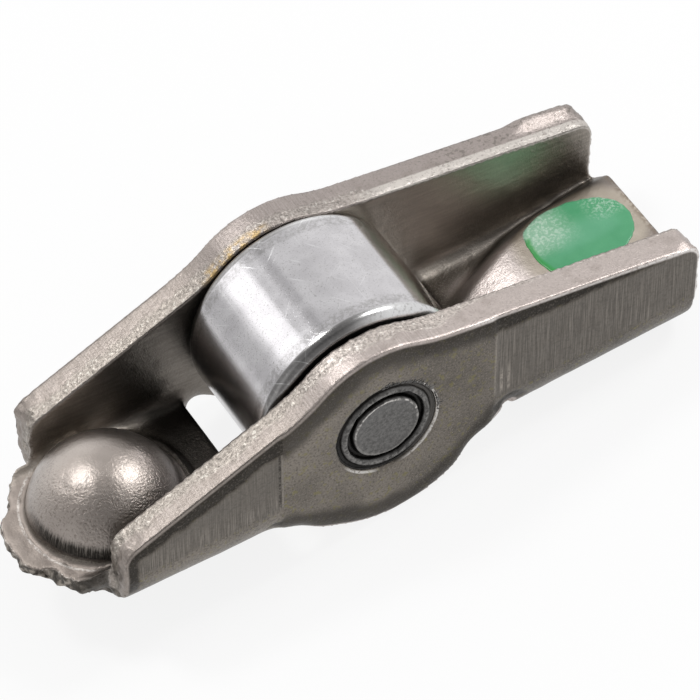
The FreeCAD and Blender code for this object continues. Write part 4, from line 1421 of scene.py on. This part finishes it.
# %% One needle and its finish
NEEDLE_END_ROUND = 0.25
needle_half = [(0.0, NEEDLE_LENGTH / 2)]
needle_half += arc_points(NEEDLE_R - NEEDLE_END_ROUND, NEEDLE_LENGTH / 2 - NEEDLE_END_ROUND,
                          NEEDLE_END_ROUND, 90, 0, 4)
needle_profile = needle_half + [(radius, -y) for radius, y in reversed(needle_half)]
one_needle = bpy.data.objects.new("one_needle", lathe("one_needle", needle_profile, 32))

needle_ground = Finish("needle_steel")
place = needle_ground.place()
mist = needle_ground.cloud(place, 4.0, 3.0)
rings = needle_ground.streaks(place, 0.6, 7.0, 0.6, 2.0)
tone = needle_ground.blend(mist, steel_tone(0.56, 0.0), steel_tone(0.7, 0.0))
relief = needle_ground.bump(rings, 0.25, 0.008)
needle_steel = needle_ground.surface(tone, needle_ground.blend_value(mist, 0.12, 0.2), relief)
print("one needle has", len(one_needle.data.polygons), "faces")

# %% [markdown]
# The tree makes a circle with one point for each needle, stands it upright, and sets a copy of
# the needle on every point. The whole row is one mesh, because it turns as one body.

# %% The needle row
row = geometry_recipe("needle_row", {"Count": len(needle_nodes), "Row radius": NEEDLE_ROW_R})
ring_inputs = {"Vertices": row.given["Count"], "Radius": row.given["Row radius"]}
circle = row.node("GeometryNodeMeshCircle", ring_inputs)
upright = row.node("GeometryNodeTransform", {"Geometry": circle.outputs[0], "Rotation": (math.pi / 2, 0, 0)})
shape = row.node("GeometryNodeObjectInfo", {"Object": row.given["Shape"]}).outputs["Geometry"]
copies = row.node("GeometryNodeInstanceOnPoints", {"Points": upright.outputs[0], "Instance": shape})
needle_tree = end_geometry(row, copies.outputs[0])
needle_mesh = grow("needle_row", needle_tree, {
    "Count": len(needle_nodes),
    "Row radius": NEEDLE_ROW_R,
    "Shape": one_needle,
    "Material": needle_steel,
})
bpy.data.objects.remove(one_needle)
set_on_pin(needle_mesh)
smooth_piece("needle_row", needle_mesh, "needle_set", "needle_steel", needle_steel, *needle_nodes)

# %% [markdown]
# The punch raised hair-fine burrs where the pin's edge bit into the cheek. One flake is a slender
# cone with few faces, 1 mm long, which the tree then makes shorter or longer.

# %% One flake
FLAKE_FACES = 5
FLAKE_FOOT_R = 0.075
FLAKE_TIP_R = 0.02
FLAKE_LIFT = 0.45
flake_work = bmesh.new()
bmesh.ops.create_cone(flake_work, cap_ends=True, segments=FLAKE_FACES, radius1=FLAKE_FOOT_R,
                      radius2=FLAKE_TIP_R, depth=1.0)
bmesh.ops.translate(flake_work, verts=flake_work.verts, vec=(0.0, 0.0, FLAKE_LIFT))
flake_mesh = bpy.data.meshes.new("one_flake")
flake_work.to_mesh(flake_mesh)
flake_work.free()
one_flake = bpy.data.objects.new("one_flake", flake_mesh)
print("one flake has", len(flake_mesh.polygons), "faces")

# %% [markdown]
# The tree sets the flakes round a circle, leans and sizes each at random with a fixed seed, and
# drops some of them, so that they stand in tufts.

# %% A tree of tufts
tuft_numbers = {"Count": 90, "Ring radius": 4.2, "Length": 0.4, "Kept": 0.6, "Seed": 1}
tufts = geometry_recipe("burr_tufts", tuft_numbers)
given = tufts.given
circle = tufts.node("GeometryNodeMeshCircle", {"Vertices": given["Count"], "Radius": given["Ring radius"]})
outward = tufts.node("GeometryNodeInputPosition").outputs[0]
size_draw = tufts.node("FunctionNodeRandomValue", {2: 0.45, 3: 1.2, 8: given["Seed"]}, data_type="FLOAT")
lean_seed = tufts.sum("ADD", given["Seed"], 7.0)
lean_draw = tufts.node("FunctionNodeRandomValue", {0: (-0.9, -0.9, -0.25), 1: (0.9, 0.9, 0.45), 8: lean_seed},
                       data_type="FLOAT_VECTOR")
lean = tufts.vector_sum("ADD", tufts.vector_sum("NORMALIZE", outward), lean_draw.outputs[0])
aim = tufts.node("FunctionNodeAlignRotationToVector", {"Vector": lean}, axis="Z").outputs[0]
length = tufts.times(size_draw.outputs[1], given["Length"])
scale = tufts.join(1.0, 1.0, length)
keep_seed = tufts.sum("ADD", given["Seed"], 19.0)
keep = tufts.node("FunctionNodeRandomValue", {6: given["Kept"], 8: keep_seed}, data_type="BOOLEAN").outputs[3]
shape = tufts.node("GeometryNodeObjectInfo", {"Object": given["Shape"]}).outputs["Geometry"]
inputs = {"Points": circle.outputs[0], "Selection": keep, "Instance": shape, "Rotation": aim, "Scale": scale}
copies = tufts.node("GeometryNodeInstanceOnPoints", inputs)
tuft_tree = end_geometry(tufts, copies.outputs[0])
print("burr tree:", len(tuft_tree.nodes), "nodes")

# %% [markdown]
# The ring is grown once for each cheek, with another seed, and stood upright on the cheek's
# outer face.

# %% Set the burrs on both cheeks
BURR_RING_R = 4.24
BURR_COUNT = 230
BURR_LENGTH = 0.62
BURRS_KEPT = 0.6
burr_sides = []
for seed, side_sign in ((3, -1), (11, 1)):
    mesh = grow("burr_ring", tuft_tree, {
        "Count": BURR_COUNT,
        "Ring radius": BURR_RING_R,
        "Length": BURR_LENGTH,
        "Kept": BURRS_KEPT,
        "Seed": seed,
        "Shape": one_flake,
        "Material": staked_steel,
    })
    ring_points = points_of(mesh)
    standing = np.stack([ring_points[:, 0], side_sign * (BELLY_Y + ring_points[:, 2]),
                         -side_sign * ring_points[:, 1]], 1)
    move_points(mesh, standing)
    burr_sides.append(mesh)
bpy.data.objects.remove(one_flake)
print("points on both rings:", [len(mesh.vertices) for mesh in burr_sides])

# %% [markdown]
# In the photo the burrs stand only on the upper side towards the valve end. So both rings are
# joined in one mesh, and every point outside that quarter is deleted.

# %% Keep the burrs of one quarter
BURRS_FROM = math.radians(-5)
BURRS_TO = math.radians(100)
burr_work = bmesh.new()
for mesh in burr_sides:
    burr_work.from_mesh(mesh)
elsewhere = [vert for vert in burr_work.verts
             if not BURRS_FROM <= math.atan2(vert.co.z, vert.co.x) <= BURRS_TO]
bmesh.ops.delete(burr_work, geom=elsewhere, context="VERTS")
bmesh.ops.recalc_face_normals(burr_work, faces=burr_work.faces)
burr_mesh = bpy.data.meshes.new("staking_burrs")
burr_work.to_mesh(burr_mesh)
burr_work.free()
set_on_pin(burr_mesh)
inside_box = np.clip(points_of(burr_mesh), low_corner, high_corner)
move_points(burr_mesh, inside_box)
smooth_piece("staking_burrs", burr_mesh, "arm", "pin_steel", staked_steel)

# %% [markdown]
